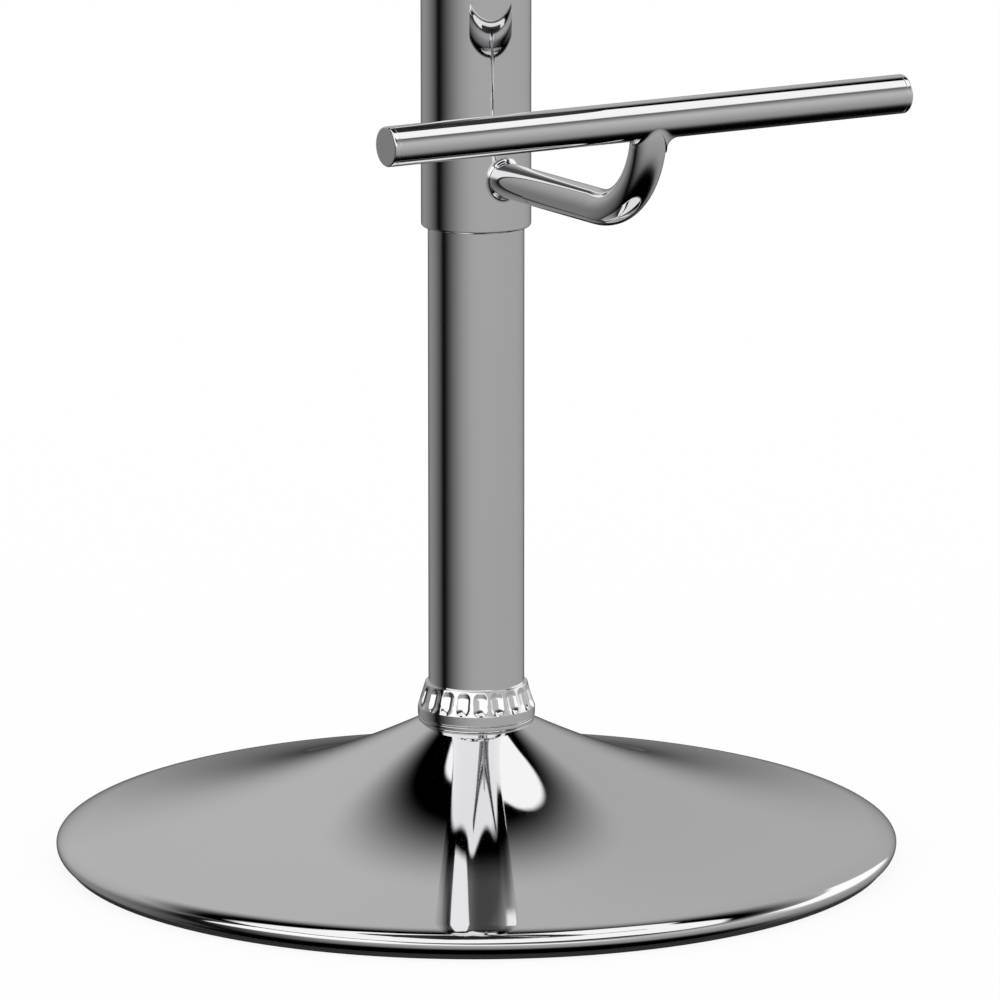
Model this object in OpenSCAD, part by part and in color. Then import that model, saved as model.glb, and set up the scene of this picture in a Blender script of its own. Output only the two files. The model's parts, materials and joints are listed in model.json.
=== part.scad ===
// Swivel bar stool with a gas spring. A spun trumpet base carries the spring's outer column.
// The seat, the sleeve and the T-shaped footrest turn and rise together on the spring.
// The seat is modelled at its highest setting. The origin is on the floor at the column's
// axis, the footrest lies towards -Y and the height lever towards -X. All sizes are in mm.

/* [Base] */
// Outside diameter of the spun base
base_d = 440; // [400:1:480]
// Thickness of the spun sheet
base_wall = 1.8; // [1.2:0.1:2.4]
// Height of the neck's top edge above the floor
neck_z = 72; // [64:0.5:80]
// Fall of the skin per millimetre outwards at the neck
neck_slope = 0.51; // [0.35:0.01:0.6]
// Length of the curve's pull at the neck
neck_pull = 61.6; // [40:0.2:75]
// Fall of the skin per millimetre outwards at the rolled edge
edge_slope = 0.155; // [0.1:0.005:0.2]
// Length of the curve's pull at the rolled edge
edge_pull = 63; // [40:1:75]
// Height of the skin where the rolled edge begins
edge_z = 15.3; // [13:0.1:18]
// Width of the rolled edge
roll_w = 15; // [12:0.5:20]
// Height of the rolled edge's widest line
roll_z = 8; // [7:0.1:10]
// How far the edge curls back under before it runs flat
curl_w = 5; // [4:0.1:7]
// Width of the flat flange under the edge
flange_w = 8; // [6:0.5:11]
// Thickness of the rubber under the flange
rubber_t = 2.6; // [2:0.1:4]
// Wall of the socket that holds the column
hub_wall = 5; // [3.5:0.1:6]
// Height of the socket's lower edge above the floor
hub_z = 12; // [10:0.5:14]
// Radius at which the stiffening dish meets the shell, as a share of the shell's curve
dish_reach = 0.5; // [0.35:0.05:0.7]
// Thickness of the stiffening dish
dish_t = 2; // [1.5:0.1:3]

/* [Collar] */
// Largest diameter of the dimpled collar
collar_d = 61.2; // [60:0.1:66]
// Diameter of the collar at its upper edge
collar_top_d = 53.2; // [52.6:0.1:55]
// Height of the collar
collar_h = 18; // [17:0.5:24]
// Number of dimples round the collar
dimple_count = 20; // [12:1:22]
// Width of a dimple
dimple_w = 7; // [5:0.1:7.2]
// Height of a dimple
dimple_h = 11.6; // [9:0.1:12]
// Depth of a dimple
dimple_depth = 1.5; // [0.8:0.1:1.8]
// Height of the plain band under the dimples
band_h = 4.8; // [4:0.1:6]
// Diameter of the step ring under the collar
step_d = 60; // [58:0.2:61]
// Height of the step ring with the groove over it
step_h = 2.6; // [2:0.1:4]

/* [Column] */
// Outside diameter of the column
column_d = 50; // [48.6:0.1:50.4]
// Wall of the column
column_wall = 2; // [1.5:0.1:2.5]
// Height of the column's foot above the floor
foot_z = 16; // [15:0.5:18]
// Length of the tapered foot
foot_taper = 50; // [40:1:52]
// How much the radius shrinks over the tapered foot
foot_drop = 1.2; // [0.6:0.1:1.6]
// Thickness of the end plate in the foot
end_plate_t = 4; // [3:0.1:5]
// Length of the guide bushing in the column
bushing_len = 80; // [60:1:100]
// Thickness of the bushing's lip over the column
bushing_lip = 3; // [2:0.1:4]

/* [Gas spring] */
// Travel of the seat from its lowest to its highest setting
lift_travel = 215; // [180:1:225]
// Outside diameter of the pressure tube
tube_d = 28; // [27.6:0.1:28.4]
// Wall of the pressure tube
tube_wall = 1.5; // [1.2:0.1:1.8]
// Length of the tube's tapered head
head_taper = 40; // [34:1:50]
// How much the radius shrinks over the tapered head
head_drop = 0.6; // [0.3:0.1:0.6]
// Diameter of the piston rod
rod_d = 10; // [9:0.1:11]
// Length of the rod below the end plate
rod_tail = 5; // [4.5:0.1:6]
// Diameter of the bearing's washers
bearing_d = 30; // [28:0.5:34]
// Thickness of a bearing washer
washer_t = 2; // [1.5:0.1:2.5]
// Diameter of a bearing ball
ball_d = 3; // [2.5:0.1:3.5]
// Number of bearing balls
ball_count = 12; // [8:1:14]
// Height of the rod's shoulder over the bearing
shoulder_h = 4; // [3:0.5:6]
// Height of the rubber buffer
buffer_h = 13; // [8:0.5:18]
// Gap left over the buffer at the lowest setting
buffer_gap = 2; // [1:0.5:5]
// Length of the rod guide in the tube's mouth
guide_h = 12; // [8:1:16]
// Length of the seal over the rod guide
seal_h = 8; // [5:0.5:12]
// Height of the piston
piston_h = 12; // [10:0.5:16]
// Length of the valve body in the tube's head
valve_h = 35; // [32:1:45]
// Diameter of the release pin
pin_d = 5; // [4:0.1:6]
// How far the release pin stands out of the tube
pin_proud = 4.3; // [4:0.1:5]

/* [Sleeve] */
// Outside diameter of the sleeve
sleeve_d = 57; // [56.6:0.1:60]
// Wall of the sleeve
sleeve_wall = 2; // [1.5:0.1:2.2]
// Height of the sleeve's lower edge at the highest setting
sleeve_z = 334; // [320:1:345]
// Radius of the sleeve's rounded lower edge
sleeve_round = 1.6; // [1:0.1:1.9]
// Height of the plastic glide in the sleeve's mouth
glide_h = 20; // [12:1:30]
// How far the glide sits back from the sleeve's edge
glide_inset = 0.8; // [0.4:0.1:1.5]

/* [Footrest] */
// Diameter of the foot bar
bar_d = 20; // [19:0.1:24]
// Length of the foot bar with its caps
bar_len = 305; // [260:1:360]
// Wall of the foot bar
bar_wall = 1.5; // [1.2:0.1:2]
// Distance from the column's axis to the bar's axis
bar_reach = 166; // [150:0.5:190]
// Thickness of a bar cap outside the tube
cap_t = 3; // [2.5:0.1:5]
// Radius of a cap's rounded edge
cap_round = 1; // [0.5:0.1:1.5]
// Length of a cap's plug inside the tube
plug_len = 12; // [8:1:20]
// Outside diameter of the arm
arm_d = 18.4; // [17:0.1:18.8]
// Wall of the arm
arm_wall = 2; // [1.5:0.1:3]
// Height of the arm's axis over the sleeve's lower edge
arm_over_edge = 28.1; // [20:0.1:40]
// Height of the bar's axis over the arm's axis
bar_over_arm = 51; // [49:0.1:70]
// Bend radius of the arm's axis
bend_r = 47; // [35:0.1:48.5]
// Radius of the blend where the arm meets the bar
tee_blend = 5.5; // [3:0.1:8]
// Radius of the blend where the arm meets the sleeve
root_blend = 3; // [1.5:0.1:5]

/* [Seat plate and lever] */
// Height of the seat plate's top face at the highest setting
plate_z = 750; // [730:1:780]
// Side of the seat plate's flange
plate_w = 180; // [174:1:200]
// Thickness of the seat plate's sheet
plate_t = 2.5; // [2:0.1:3]
// Depth of the pressed pan in the plate
pan_depth = 34; // [33:0.5:38]
// Side of the pan's floor, outside
pan_w = 96; // [94:1:100]
// How much the pan widens on each side up to the flange
pan_flare = 12; // [8:0.5:14]
// Corner radius of the plate and the pan
plate_round = 14; // [8:0.5:18]
// Distance between the seat bolts
bolt_pitch = 155; // [153:1:158]
// Diameter of the seat bolts
bolt_d = 6; // [5:0.5:6]
// Outside diameter of the tapered socket
socket_d = 38; // [34:0.5:39]
// How far the socket reaches below the pan
socket_below = 8; // [5:0.5:10]
// How far the socket rises above the pan's floor
socket_above = 14; // [11:0.5:14]
// Gap between the socket and the column's lip at the lowest setting
drop_gap = 2; // [1:0.5:6]
// Diameter of the lever rod
lever_d = 8; // [7:0.1:8.4]
// Distance from the release pin to the lever's pivot
pivot_x = 30; // [29:0.5:31]
// Depth of the pivot below the plate's top face
pivot_drop = 9; // [8.5:0.1:10]
// Diameter of the lever's pivot pin
pivot_d = 5; // [4:0.1:6]
// Distance from the release pin to the end of the lever's grip
lever_reach = 196; // [180:1:220]
// Depth of the lever's grip below the plate's top face
grip_drop = 38; // [35:0.5:44]
// Length of the lever's grip
grip_len = 52; // [40:1:60]
// Diameter of the lever's grip
grip_d = 15; // [12:0.5:18]

/* [Seat] */
// Side of the seat pad at its widest
seat_w = 366; // [340:1:400]
// Height of the padded seat from the board's underside to the crown
seat_h = 67; // [55:1:85]
// How far the board's edge sits inside the pad
board_inset = 8; // [6:0.5:12]
// Thickness of the seat board
board_t = 12; // [10:0.5:15]
// Thickness of the lining under the board
lining_t = 0.8; // [0.5:0.1:1.5]
// How far the lining's edge sits inside the board's edge
lining_inset = 12; // [8:1:20]
// Squareness of the seat's outline, from round at 2 to nearly square at 8
seat_square = 6; // [4:0.5:8]
// How far the pad's crown rises over its rounded edge
crown = 9; // [5:0.5:14]
// How far the pad's side is drawn in at its foot
side_draw = 5; // [3:0.5:6]

/* [Fits] */
// Radial clearance of faces that run on each other
run_fit = 0.05; // [0.03:0.01:0.09]
// Radial clearance of faces that seat in each other
seat_fit = 0.03; // [0.02:0.01:0.05]
// Gap left between a part and a soft or loose neighbour
soft_gap = 0.3; // [0.2:0.05:0.5]

/* [Hidden] */
$fn = 96;

chrome = "silver";
steel = "slategray";
black = "dimgray";
slack = 1;
merge = 0.01;

// Radii and heights of the base
base_r = base_d / 2;
column_r = column_d / 2;
neck_r = column_r + hub_wall;
edge_r = base_r - roll_w;
flange_r = base_r - curl_w - flange_w;
dish_seat = 6;
skin_steps = 26;
roll_steps = 6;
lip_t = 1.6;
lip_w = 2;
channel_h = 1.6;
foot_round = 0.6;
lip_r = flange_r - seat_fit - lip_t;
flange_top_z = rubber_t + base_wall + seat_fit;

// Heights and radii of the collar
step_z = neck_z;
collar_z = step_z + step_h;
collar_r = collar_d / 2;
collar_top_r = collar_top_d / 2;
groove_h = 0.7;
groove_in = 1.1;
round_off = 0.3;
dimple_rise = 0.38;
collar_steps = 8;

// Heights in the column's foot, from the end plate up to the buffer
bore_r = column_r - column_wall;
bearing_z = foot_z + end_plate_t;
ball_z = bearing_z + washer_t + ball_d / 2;
upper_z = ball_z + ball_d / 2 + run_fit;
shoulder_z = upper_z + washer_t;
buffer_z = shoulder_z + shoulder_h;
tube_z = buffer_z + buffer_h + buffer_gap + lift_travel;
rod_r = rod_d / 2;
bearing_r = bearing_d / 2;
ball_pitch_r = (bearing_r + rod_r) / 2 + 1;
ball_gap = 0.1;
cage_t = 1.6;
shoulder_r = rod_r + 3;
clip_t = 1.6;
clip_in = 1;
clip_z = foot_z - 0.5 - clip_t;
clip_slack = 0.05;
rivet_h = 1.5;

// Heights in the pressure tube
tube_r = tube_d / 2;
tube_bore_r = tube_r - tube_wall;
piston_z = tube_z + guide_h + seal_h + soft_gap;
spigot_r = rod_r - 1.5;
seal_groove_h = 3.2;
seal_groove_in = 1.9;
piston_gap = 0.2;
piston_rim = tube_bore_r - piston_gap;
piston_mid = piston_z + piston_h / 2;
edge_break = 0.5;

// Heights of the seat plate, its pan and what stands in it
pan_z = plate_z - pan_depth;
pan_floor_z = pan_z + plate_t;
socket_z = pan_z - socket_below;
socket_top_z = pan_floor_z + socket_above;
tube_stand = 2.5;
tube_top_z = socket_top_z + tube_stand;
column_top_z = socket_z - lift_travel - drop_gap - bushing_lip;
pin_r = pin_d / 2;
pin_top_z = tube_top_z + pin_proud;
pin_len = 27;
pin_room = 4;
lever_r = lever_d / 2;
nose_r = lever_r + 0.5;
nose_z = pin_top_z + soft_gap + nose_r;
pivot_z = plate_z - pivot_drop;
boss_r = 6.3;
boss_w = 13;
ear_gap = 0.5;
ear_t = 2;
ear_w = 14;
ear_r = 5.5;
ear_y = boss_w / 2 + ear_gap;
pin_head_r = pivot_d / 2 + 1.2;
pin_head_t = 1.5;
head_h = 4;
head_r = bolt_d - 0.5;
disc_t = 1.5;
disc_r = bolt_d + 1;
disc_z = plate_z - plate_t - disc_t;
nut_flange_r = bolt_d + 3;
nut_flange_t = 1.5;
nut_wall = 1.2;
nut_inset = 2;
bolt_gap = 0.2;
nut_gap = 0.1;

// The lever's axis, from its nose over the pin through the pan's wall and down to its grip
grip_x = grip_len - lever_reach;
grip_z = plate_z - grip_drop;
grip_wall = 4;
elbow_x = -pivot_x - 22;
elbow_z = pivot_z - 7;
knee_x = -pivot_x - 70;
knee_z = grip_z + 4;
level_x = -pivot_x - 104;
lever_path = [
    [0, nose_z], [-pivot_x, pivot_z], [elbow_x, elbow_z], [knee_x, knee_z], [level_x, grip_z],
    [grip_wall - lever_reach, grip_z]
];
lever_bend = 20;
bend_steps = 4;
lever_sides = 20;
slot_side = 3;
slot_below = 4.5;
slot_above = 5;

// The footrest
sleeve_r = sleeve_d / 2;
sleeve_bore_r = sleeve_r - sleeve_wall;
bar_r = bar_d / 2;
arm_r = arm_d / 2;
arm_z = sleeve_z + arm_over_edge;
bar_z = arm_z + bar_over_arm;
blend_sides = 36;
blend_steps = 5;
blend_sink = 0.3;
blend_root = 1;

// The seat
board_z = plate_z + lining_t;
board_top_z = board_z + board_t;
seat_half = seat_w / 2;
board_half = seat_half - board_inset;
pocket_half = board_half + soft_gap;
outline_steps = 40;

// The point at share t of a curve from a to d that b and c pull
function bezier(a, b, c, d, t) =
    pow(1 - t, 3) * a + 3 * pow(1 - t, 2) * t * b + 3 * (1 - t) * t * t * c + pow(t, 3) * d;

// Points of a curve from a to d, without its first point
function curve(a, b, c, d, n) = [for (i = [1:n]) bezier(a, b, c, d, i / n)];

// A path moved sideways by t, to the right of its run
function beside(path, t) = [
    for (i = [0:len(path) - 1])
        let (
            before = path[max(i - 1, 0)],
            after = path[min(i + 1, len(path) - 1)],
            run = after - before
        )
        path[i] + t * [run[1], -run[0]] / norm(run)
];

// A flat vector turned by the angle a
function spun(v, a) = [v[0] * cos(a) - v[1] * sin(a), v[0] * sin(a) + v[1] * cos(a)];

// Points of a flat path with each corner rounded to radius b, each with its direction
function rounded(path, b, n) =
    let (
        last = len(path) - 1,
        way = [for (i = [0:last - 1]) (path[i + 1] - path[i]) / norm(path[i + 1] - path[i])]
    )
    concat(
        [[path[0], way[0]]],
        [for (i = [1:last - 1], k = [0:n])
            let (
                turn = asin(cross(way[i - 1], way[i])),
                side = sign(turn) * [-way[i - 1][1], way[i - 1][0]],
                centre = path[i] - b * tan(abs(turn) / 2) * way[i - 1] + b * side
            )
            [centre - b * spun(side, turn * k / n), spun(way[i - 1], turn * k / n)]],
        [[path[last], way[last - 1]]]
    );

// A list from its last item to its first
function reversed(list) = [for (i = [len(list) - 1:-1:0]) list[i]];

// The outer skin of the base, from the neck out to the rolled edge and back under it
neck_point = [neck_r, neck_z];
edge_point = [edge_r, edge_z];
skin = concat(
    [neck_point - 2 * base_wall * [1, -neck_slope], neck_point],
    curve(neck_point, neck_point + neck_pull * [1, -neck_slope],
        edge_point - edge_pull * [1, -edge_slope], edge_point, skin_steps)
);
roll = concat(
    curve(edge_point, edge_point + 0.55 * roll_w * [1, -edge_slope],
        [base_r, roll_z + 0.5 * (edge_z - roll_z)], [base_r, roll_z], roll_steps),
    curve([base_r, roll_z], [base_r, roll_z - 0.55 * (roll_z - rubber_t)],
        [base_r - 0.45 * curl_w, rubber_t], [base_r - curl_w, rubber_t], roll_steps),
    [[flange_r, rubber_t]]
);
shell_path = concat(skin, roll);
inner_path = beside(shell_path, base_wall);
dish_point = inner_path[round(dish_reach * skin_steps)];

// A section turned round the column's axis
module turned(points) rotate_extrude() polygon(points);

// A ring between two radii, from height z upwards
module ring(r_in, r_out, z, h) translate([0, 0, z]) difference() {
    cylinder(r = r_out, h = h);
    translate([0, 0, -slack]) cylinder(r = r_in, h = h + 2 * slack);
}

// A round rod along points in the plane of X and Z, each with its direction
module swept_rod(path, r, sides) {
    last = len(path) - 1;
    points = [for (p = path, j = [0:sides - 1])
        let (a = 360 * j / sides, side = [-p[1][1], p[1][0]])
        [p[0][0] + r * cos(a) * side[0], r * sin(a), p[0][1] + r * cos(a) * side[1]]];
    wall = [for (k = [0:last - 1], j = [0:sides - 1])
        let (i = (j + 1) % sides, a = k * sides, b = a + sides)
        each [[a + j, a + i, b + j], [a + i, b + i, b + j]]];
    ends = [for (j = [1:sides - 2])
        each [[0, j + 1, j], [last * sides, last * sides + j, last * sides + j + 1]]];
    polyhedron(points, concat(wall, ends));
}

// A cylinder along Y, centred on the plane of X and Z
module cross_pin(x, z, r, w) translate([x, 0, z]) rotate([90, 0, 0]) cylinder(r = r, h = w, center = true);

// The four places of the seat bolts
module at_bolts() for (x = [-1, 1], y = [-1, 1])
    translate([x * bolt_pitch / 2, y * bolt_pitch / 2, 0]) children();

// A flat square with rounded corners, as a thin slab for a hull
module slab(w, r, z) translate([0, 0, z]) for (x = [-1, 1], y = [-1, 1])
    translate([x * (w / 2 - r), y * (w / 2 - r), 0]) cylinder(r = r, h = 0.01, $fn = 32);

// Outline of the seat: a superellipse of half side s
function outline(s) = [
    for (i = [0:outline_steps - 1])
        let (a = 360 * i / outline_steps, c = cos(a), d = sin(a), p = 2 / seat_square)
        s * [sign(c) * pow(abs(c), p), sign(d) * pow(abs(d), p)]
];

module base_shell() color(chrome) difference() {
    turned(concat(shell_path, reversed(inner_path)));
    cylinder(r = neck_r, h = 2 * neck_z);
}

// The channel grips the flange from inside and carries the stool on its flat foot
module floor_ring() color(black) turned([
    [lip_r, foot_round], [lip_r + foot_round, 0], [base_r - curl_w - foot_round, 0],
    [base_r - curl_w, foot_round], [base_r - curl_w, rubber_t], [flange_r - seat_fit, rubber_t],
    [flange_r - seat_fit, flange_top_z], [flange_r + lip_w, flange_top_z],
    [flange_r + lip_w, flange_top_z + channel_h], [lip_r, flange_top_z + channel_h]
]);

module hub_socket() color(steel) difference() {
    translate([0, 0, hub_z]) cylinder(r = neck_r, h = neck_z - hub_z);
    cylinder(r = column_r - foot_drop + seat_fit, h = foot_z);
    translate([0, 0, foot_z - merge]) cylinder(
        r1 = column_r - foot_drop + seat_fit, r2 = column_r + seat_fit, h = foot_taper + merge);
    translate([0, 0, foot_z + foot_taper - merge]) cylinder(r = column_r + seat_fit, h = neck_z);
}

// A flat seat round the socket, then a cone out to the shell's underside
module hub_dish() color(steel) turned([
    [neck_r, hub_z + dish_t], [neck_r + dish_seat, hub_z + dish_t],
    [dish_point[0], dish_point[1] - seat_fit], [dish_point[0], dish_point[1] - seat_fit - dish_t],
    [neck_r + dish_seat, hub_z], [neck_r, hub_z]
]);

module step_ring() color(chrome) turned([
    [column_r + seat_fit, step_z], [step_d / 2 - round_off, step_z],
    [step_d / 2, step_z + round_off], [step_d / 2, step_z + step_h - groove_h - round_off],
    [step_d / 2 - round_off, step_z + step_h - groove_h],
    [step_d / 2 - groove_in, step_z + step_h - groove_h],
    [step_d / 2 - groove_in, step_z + step_h], [column_r + seat_fit, step_z + step_h]
]);

// A round-ended cutter that leaves an oval dimple, leaning with the collar's wall
module dimple() {
    cut_r = (pow(dimple_w / 2, 2) + pow(dimple_depth, 2)) / (2 * dimple_depth);
    half_run = (dimple_h - dimple_w) / 2;
    mid_z = collar_z + band_h + dimple_h / 2;
    lean = atan((collar_r - collar_top_r) / (collar_h - band_h));
    wall_r = collar_r - dimple_rise * (collar_r - collar_top_r);
    translate([wall_r + cut_r - dimple_depth, 0, mid_z]) rotate([0, -lean, 0]) {
        cylinder(r = cut_r, h = 2 * half_run, center = true);
        for (s = [-1, 1]) translate([0, 0, s * half_run]) sphere(r = cut_r);
    }
}

module collar_ring() color(chrome) difference() {
    turned(concat(
        [[column_r + seat_fit, collar_z], [collar_r - edge_break, collar_z],
            [collar_r, collar_z + edge_break], [collar_r, collar_z + 0.4 * band_h]],
        curve([collar_r, collar_z + 0.4 * band_h], [collar_r, collar_z + 0.45 * collar_h],
            [collar_top_r + 1.7, collar_z + 0.72 * collar_h],
            [collar_top_r + round_off, collar_z + collar_h - round_off], collar_steps),
        [[collar_top_r, collar_z + collar_h], [column_r + seat_fit, collar_z + collar_h]]
    ));
    for (i = [0:dimple_count - 1]) rotate([0, 0, (i + 0.5) * 360 / dimple_count]) dimple();
}

module lower_column() color(chrome) turned([
    [bore_r - foot_drop, foot_z], [column_r - foot_drop, foot_z],
    [column_r, foot_z + foot_taper], [column_r, column_top_z - edge_break],
    [column_r - edge_break, column_top_z], [bore_r, column_top_z], [bore_r, foot_z + foot_taper]
]);

module column_end_plate() color(steel) difference() {
    translate([0, 0, foot_z]) cylinder(r = bore_r - foot_drop - seat_fit, h = end_plate_t);
    translate([0, 0, foot_z - slack]) cylinder(r = rod_r + run_fit, h = end_plate_t + 2 * slack);
}

module thrust_washer_lower() color("silver") ring(rod_r + 1, bearing_r, bearing_z, washer_t);

// The places of the bearing's balls
module at_balls() for (i = [0:ball_count - 1])
    rotate([0, 0, i * 360 / ball_count]) translate([ball_pitch_r, 0, 0]) children();

module thrust_cage() color("goldenrod") difference() {
    ring(rod_r + 2, bearing_r - 0.5, ball_z - cage_t / 2, cage_t);
    at_balls() translate([0, 0, bearing_z]) cylinder(r = ball_d / 2 + ball_gap, h = 2 * ball_d + washer_t);
}

module thrust_balls() color("silver") at_balls() translate([0, 0, ball_z]) sphere(d = ball_d);

module guide_bushing() color("ivory") difference() {
    union() {
        translate([0, 0, column_top_z - bushing_len])
            cylinder(r = bore_r - seat_fit, h = bushing_len + bushing_lip);
        translate([0, 0, column_top_z]) cylinder(r = column_r - edge_break, h = bushing_lip);
    }
    translate([0, 0, column_top_z - bushing_len - slack])
        cylinder(r = tube_r + run_fit, h = bushing_len + bushing_lip + 2 * slack);
}

module thrust_washer_upper() color("silver") ring(rod_r + seat_fit, bearing_r, upper_z, washer_t);

// The rod hangs from its shoulder on the bearing, with a groove for the clip under the plate
module piston_rod() color("silver") turned([
    [0, foot_z - rod_tail], [rod_r - edge_break, foot_z - rod_tail],
    [rod_r, foot_z - rod_tail + edge_break],
    [rod_r, clip_z - clip_slack], [rod_r - clip_in, clip_z - clip_slack],
    [rod_r - clip_in, clip_z + clip_t + clip_slack], [rod_r, clip_z + clip_t + clip_slack],
    [rod_r, shoulder_z], [shoulder_r, shoulder_z], [shoulder_r, buffer_z], [rod_r, buffer_z],
    [rod_r, piston_z], [spigot_r, piston_z], [spigot_r, piston_z + piston_h + rivet_h],
    [0, piston_z + piston_h + rivet_h]
]);

module retaining_clip() color("silver") difference() {
    ring(rod_r - clip_in + seat_fit, shoulder_r, clip_z, clip_t);
    translate([0, clip_in - rod_r, clip_z - slack])
        cube([3 * rod_r, 2 * (rod_r - clip_in), clip_t + 2 * slack]);
}

module buffer() color(black) turned([
    [rod_r + seat_fit, buffer_z], [rod_r + 6, buffer_z], [rod_r + 6, buffer_z + 0.6 * buffer_h],
    [rod_r + 4, buffer_z + buffer_h], [rod_r + seat_fit, buffer_z + buffer_h]
]);

module piston() color("silver") turned([
    [spigot_r + seat_fit, piston_z], [piston_rim - edge_break, piston_z],
    [piston_rim, piston_z + edge_break], [piston_rim, piston_mid - seal_groove_h / 2],
    [piston_rim - seal_groove_in, piston_mid - seal_groove_h / 2],
    [piston_rim - seal_groove_in, piston_mid + seal_groove_h / 2],
    [piston_rim, piston_mid + seal_groove_h / 2], [piston_rim, piston_z + piston_h - edge_break],
    [piston_rim - edge_break, piston_z + piston_h], [spigot_r + seat_fit, piston_z + piston_h]
]);

module piston_seal() color(black) ring(piston_rim - seal_groove_in + seat_fit,
    tube_bore_r - run_fit, piston_mid - seal_groove_h / 2 + run_fit, seal_groove_h - 2 * run_fit);

module pressure_tube() color("dimgray") turned([
    [tube_bore_r, tube_z], [tube_r - edge_break, tube_z], [tube_r, tube_z + edge_break],
    [tube_r, tube_top_z - head_taper], [tube_r - head_drop, tube_top_z], [tube_bore_r, tube_top_z]
]);

module rod_guide() color("ivory") ring(rod_r + run_fit, tube_bore_r - seat_fit, tube_z, guide_h);

module rod_seal() color(black)
    ring(rod_r + run_fit, tube_bore_r - seat_fit, tube_z + guide_h, seal_h);

module valve_body() color("silver") difference() {
    translate([0, 0, tube_top_z - valve_h]) cylinder(r = tube_bore_r - seat_fit, h = valve_h);
    translate([0, 0, pin_top_z - pin_len - pin_room]) cylinder(r = pin_r + run_fit, h = 2 * pin_len);
}

module release_pin() color("gold") turned([
    [0, pin_top_z - pin_len], [pin_r, pin_top_z - pin_len], [pin_r, pin_top_z - 0.6],
    [pin_r - 0.6, pin_top_z], [0, pin_top_z]
]);

module cover_sleeve() color(chrome) rotate_extrude() {
    translate([sleeve_bore_r, sleeve_z + sleeve_round])
        square([sleeve_wall, pan_z - sleeve_z - sleeve_round]);
    translate([sleeve_bore_r, sleeve_z]) square([sleeve_wall - sleeve_round, sleeve_round]);
    intersection() {
        translate([sleeve_r - sleeve_round, sleeve_z + sleeve_round]) circle(r = sleeve_round);
        translate([sleeve_bore_r, sleeve_z]) square(sleeve_wall);
    }
}

module sleeve_glide() color(black)
    ring(column_r + run_fit, sleeve_bore_r - seat_fit, sleeve_z + glide_inset, glide_h);

// The arm's tube or its bore: out of the sleeve, round the bend and up to the bar
module arm_run(r) {
    translate([0, 0, arm_z]) rotate([90, 0, 0]) cylinder(r = r, h = bar_reach - bend_r);
    translate([0, bend_r - bar_reach, arm_z + bend_r]) rotate([0, 90, 0]) rotate([0, 0, -90])
        rotate_extrude(angle = 90) translate([bend_r, 0]) circle(r = r);
    translate([0, -bar_reach, arm_z + bend_r]) cylinder(r = r, h = bar_over_arm - bend_r);
}

// A direction at share t of the way from one unit direction to another
function between(from, to, t) =
    let (a = acos(from * to)) (sin((1 - t) * a) * from + sin(t * a) * to) / sin(a);

// Section of a blend at the angle a round the arm: the arc of a ball of radius w that rolls
// in the corner, sunk a little into both tubes, and a point inside the arm's wall. It sinks
// deeper where the tubes' sides run almost into one another and leave the ball no corner.
// X is along the host tube's axis and Z runs up the arm to that axis.
function blend_section(host, w, a) =
    let (
        y = (arm_r + w) * sin(a),
        z = -sqrt(pow(host + w, 2) - y * y),
        centre = [(arm_r + w) * cos(a), y, z],
        to_arm = [-cos(a), -sin(a), 0],
        to_host = [0, -y, -z] / (host + w),
        sink = blend_sink + pow(y / (host + w), 16),
        in_r = arm_r - blend_root,
        in_z = -sqrt(pow(host - blend_root, 2) - pow(in_r * sin(a), 2))
    )
    concat(
        [for (k = [0:blend_steps]) centre + (w + sink) * between(to_arm, to_host, k / blend_steps)],
        [[in_r * cos(a), in_r * sin(a), in_z]]
    );

// A blend of radius w round the arm's end on a host tube
module blend(host, w) {
    n = blend_steps + 2;
    sections = [for (i = [0:blend_sides - 1]) each blend_section(host, w, 360 * (i + 0.5) / blend_sides)];
    faces = [for (i = [0:blend_sides - 1], k = [0:n - 1])
        let (a = i * n + k, b = i * n + (k + 1) % n, j = (i + 1) % blend_sides * n)
        each [[a, b, j + k], [b, j + (k + 1) % n, j + k]]];
    polyhedron(sections, faces);
}

module footrest_arm() color(chrome) difference() {
    union() {
        arm_run(arm_r);
        translate([0, -bar_reach, bar_z]) blend(bar_r, tee_blend);
        translate([0, 0, arm_z]) rotate([90, 0, 0]) rotate([0, 180, 90]) blend(sleeve_r, root_blend);
    }
    arm_run(arm_r - arm_wall);
    translate([0, 0, arm_z - 2 * arm_d]) cylinder(r = sleeve_r, h = 4 * arm_d);
    translate([0, -bar_reach, bar_z]) rotate([0, 90, 0]) cylinder(r = bar_r, h = 4 * arm_d, center = true);
}

module at_bar() translate([0, -bar_reach, bar_z]) rotate([0, 90, 0]) children();

module foot_bar() color(chrome) at_bar() difference() {
    cylinder(r = bar_r, h = bar_len - 2 * cap_t, center = true);
    cylinder(r = bar_r - bar_wall, h = bar_len, center = true);
}

// A cap turned round the bar's axis, seen from its plug
module bar_cap() rotate_extrude() {
    translate([0, -plug_len]) square([bar_r - bar_wall - seat_fit, plug_len]);
    square([bar_r - cap_round, cap_t]);
    square([bar_r, cap_t - cap_round]);
    translate([bar_r - cap_round, cap_t - cap_round]) circle(r = cap_round);
}

module bar_cap_left() color(chrome) at_bar() mirror([0, 0, 1])
    translate([0, 0, bar_len / 2 - cap_t]) bar_cap();

module bar_cap_right() color(chrome) at_bar() translate([0, 0, bar_len / 2 - cap_t]) bar_cap();

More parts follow.
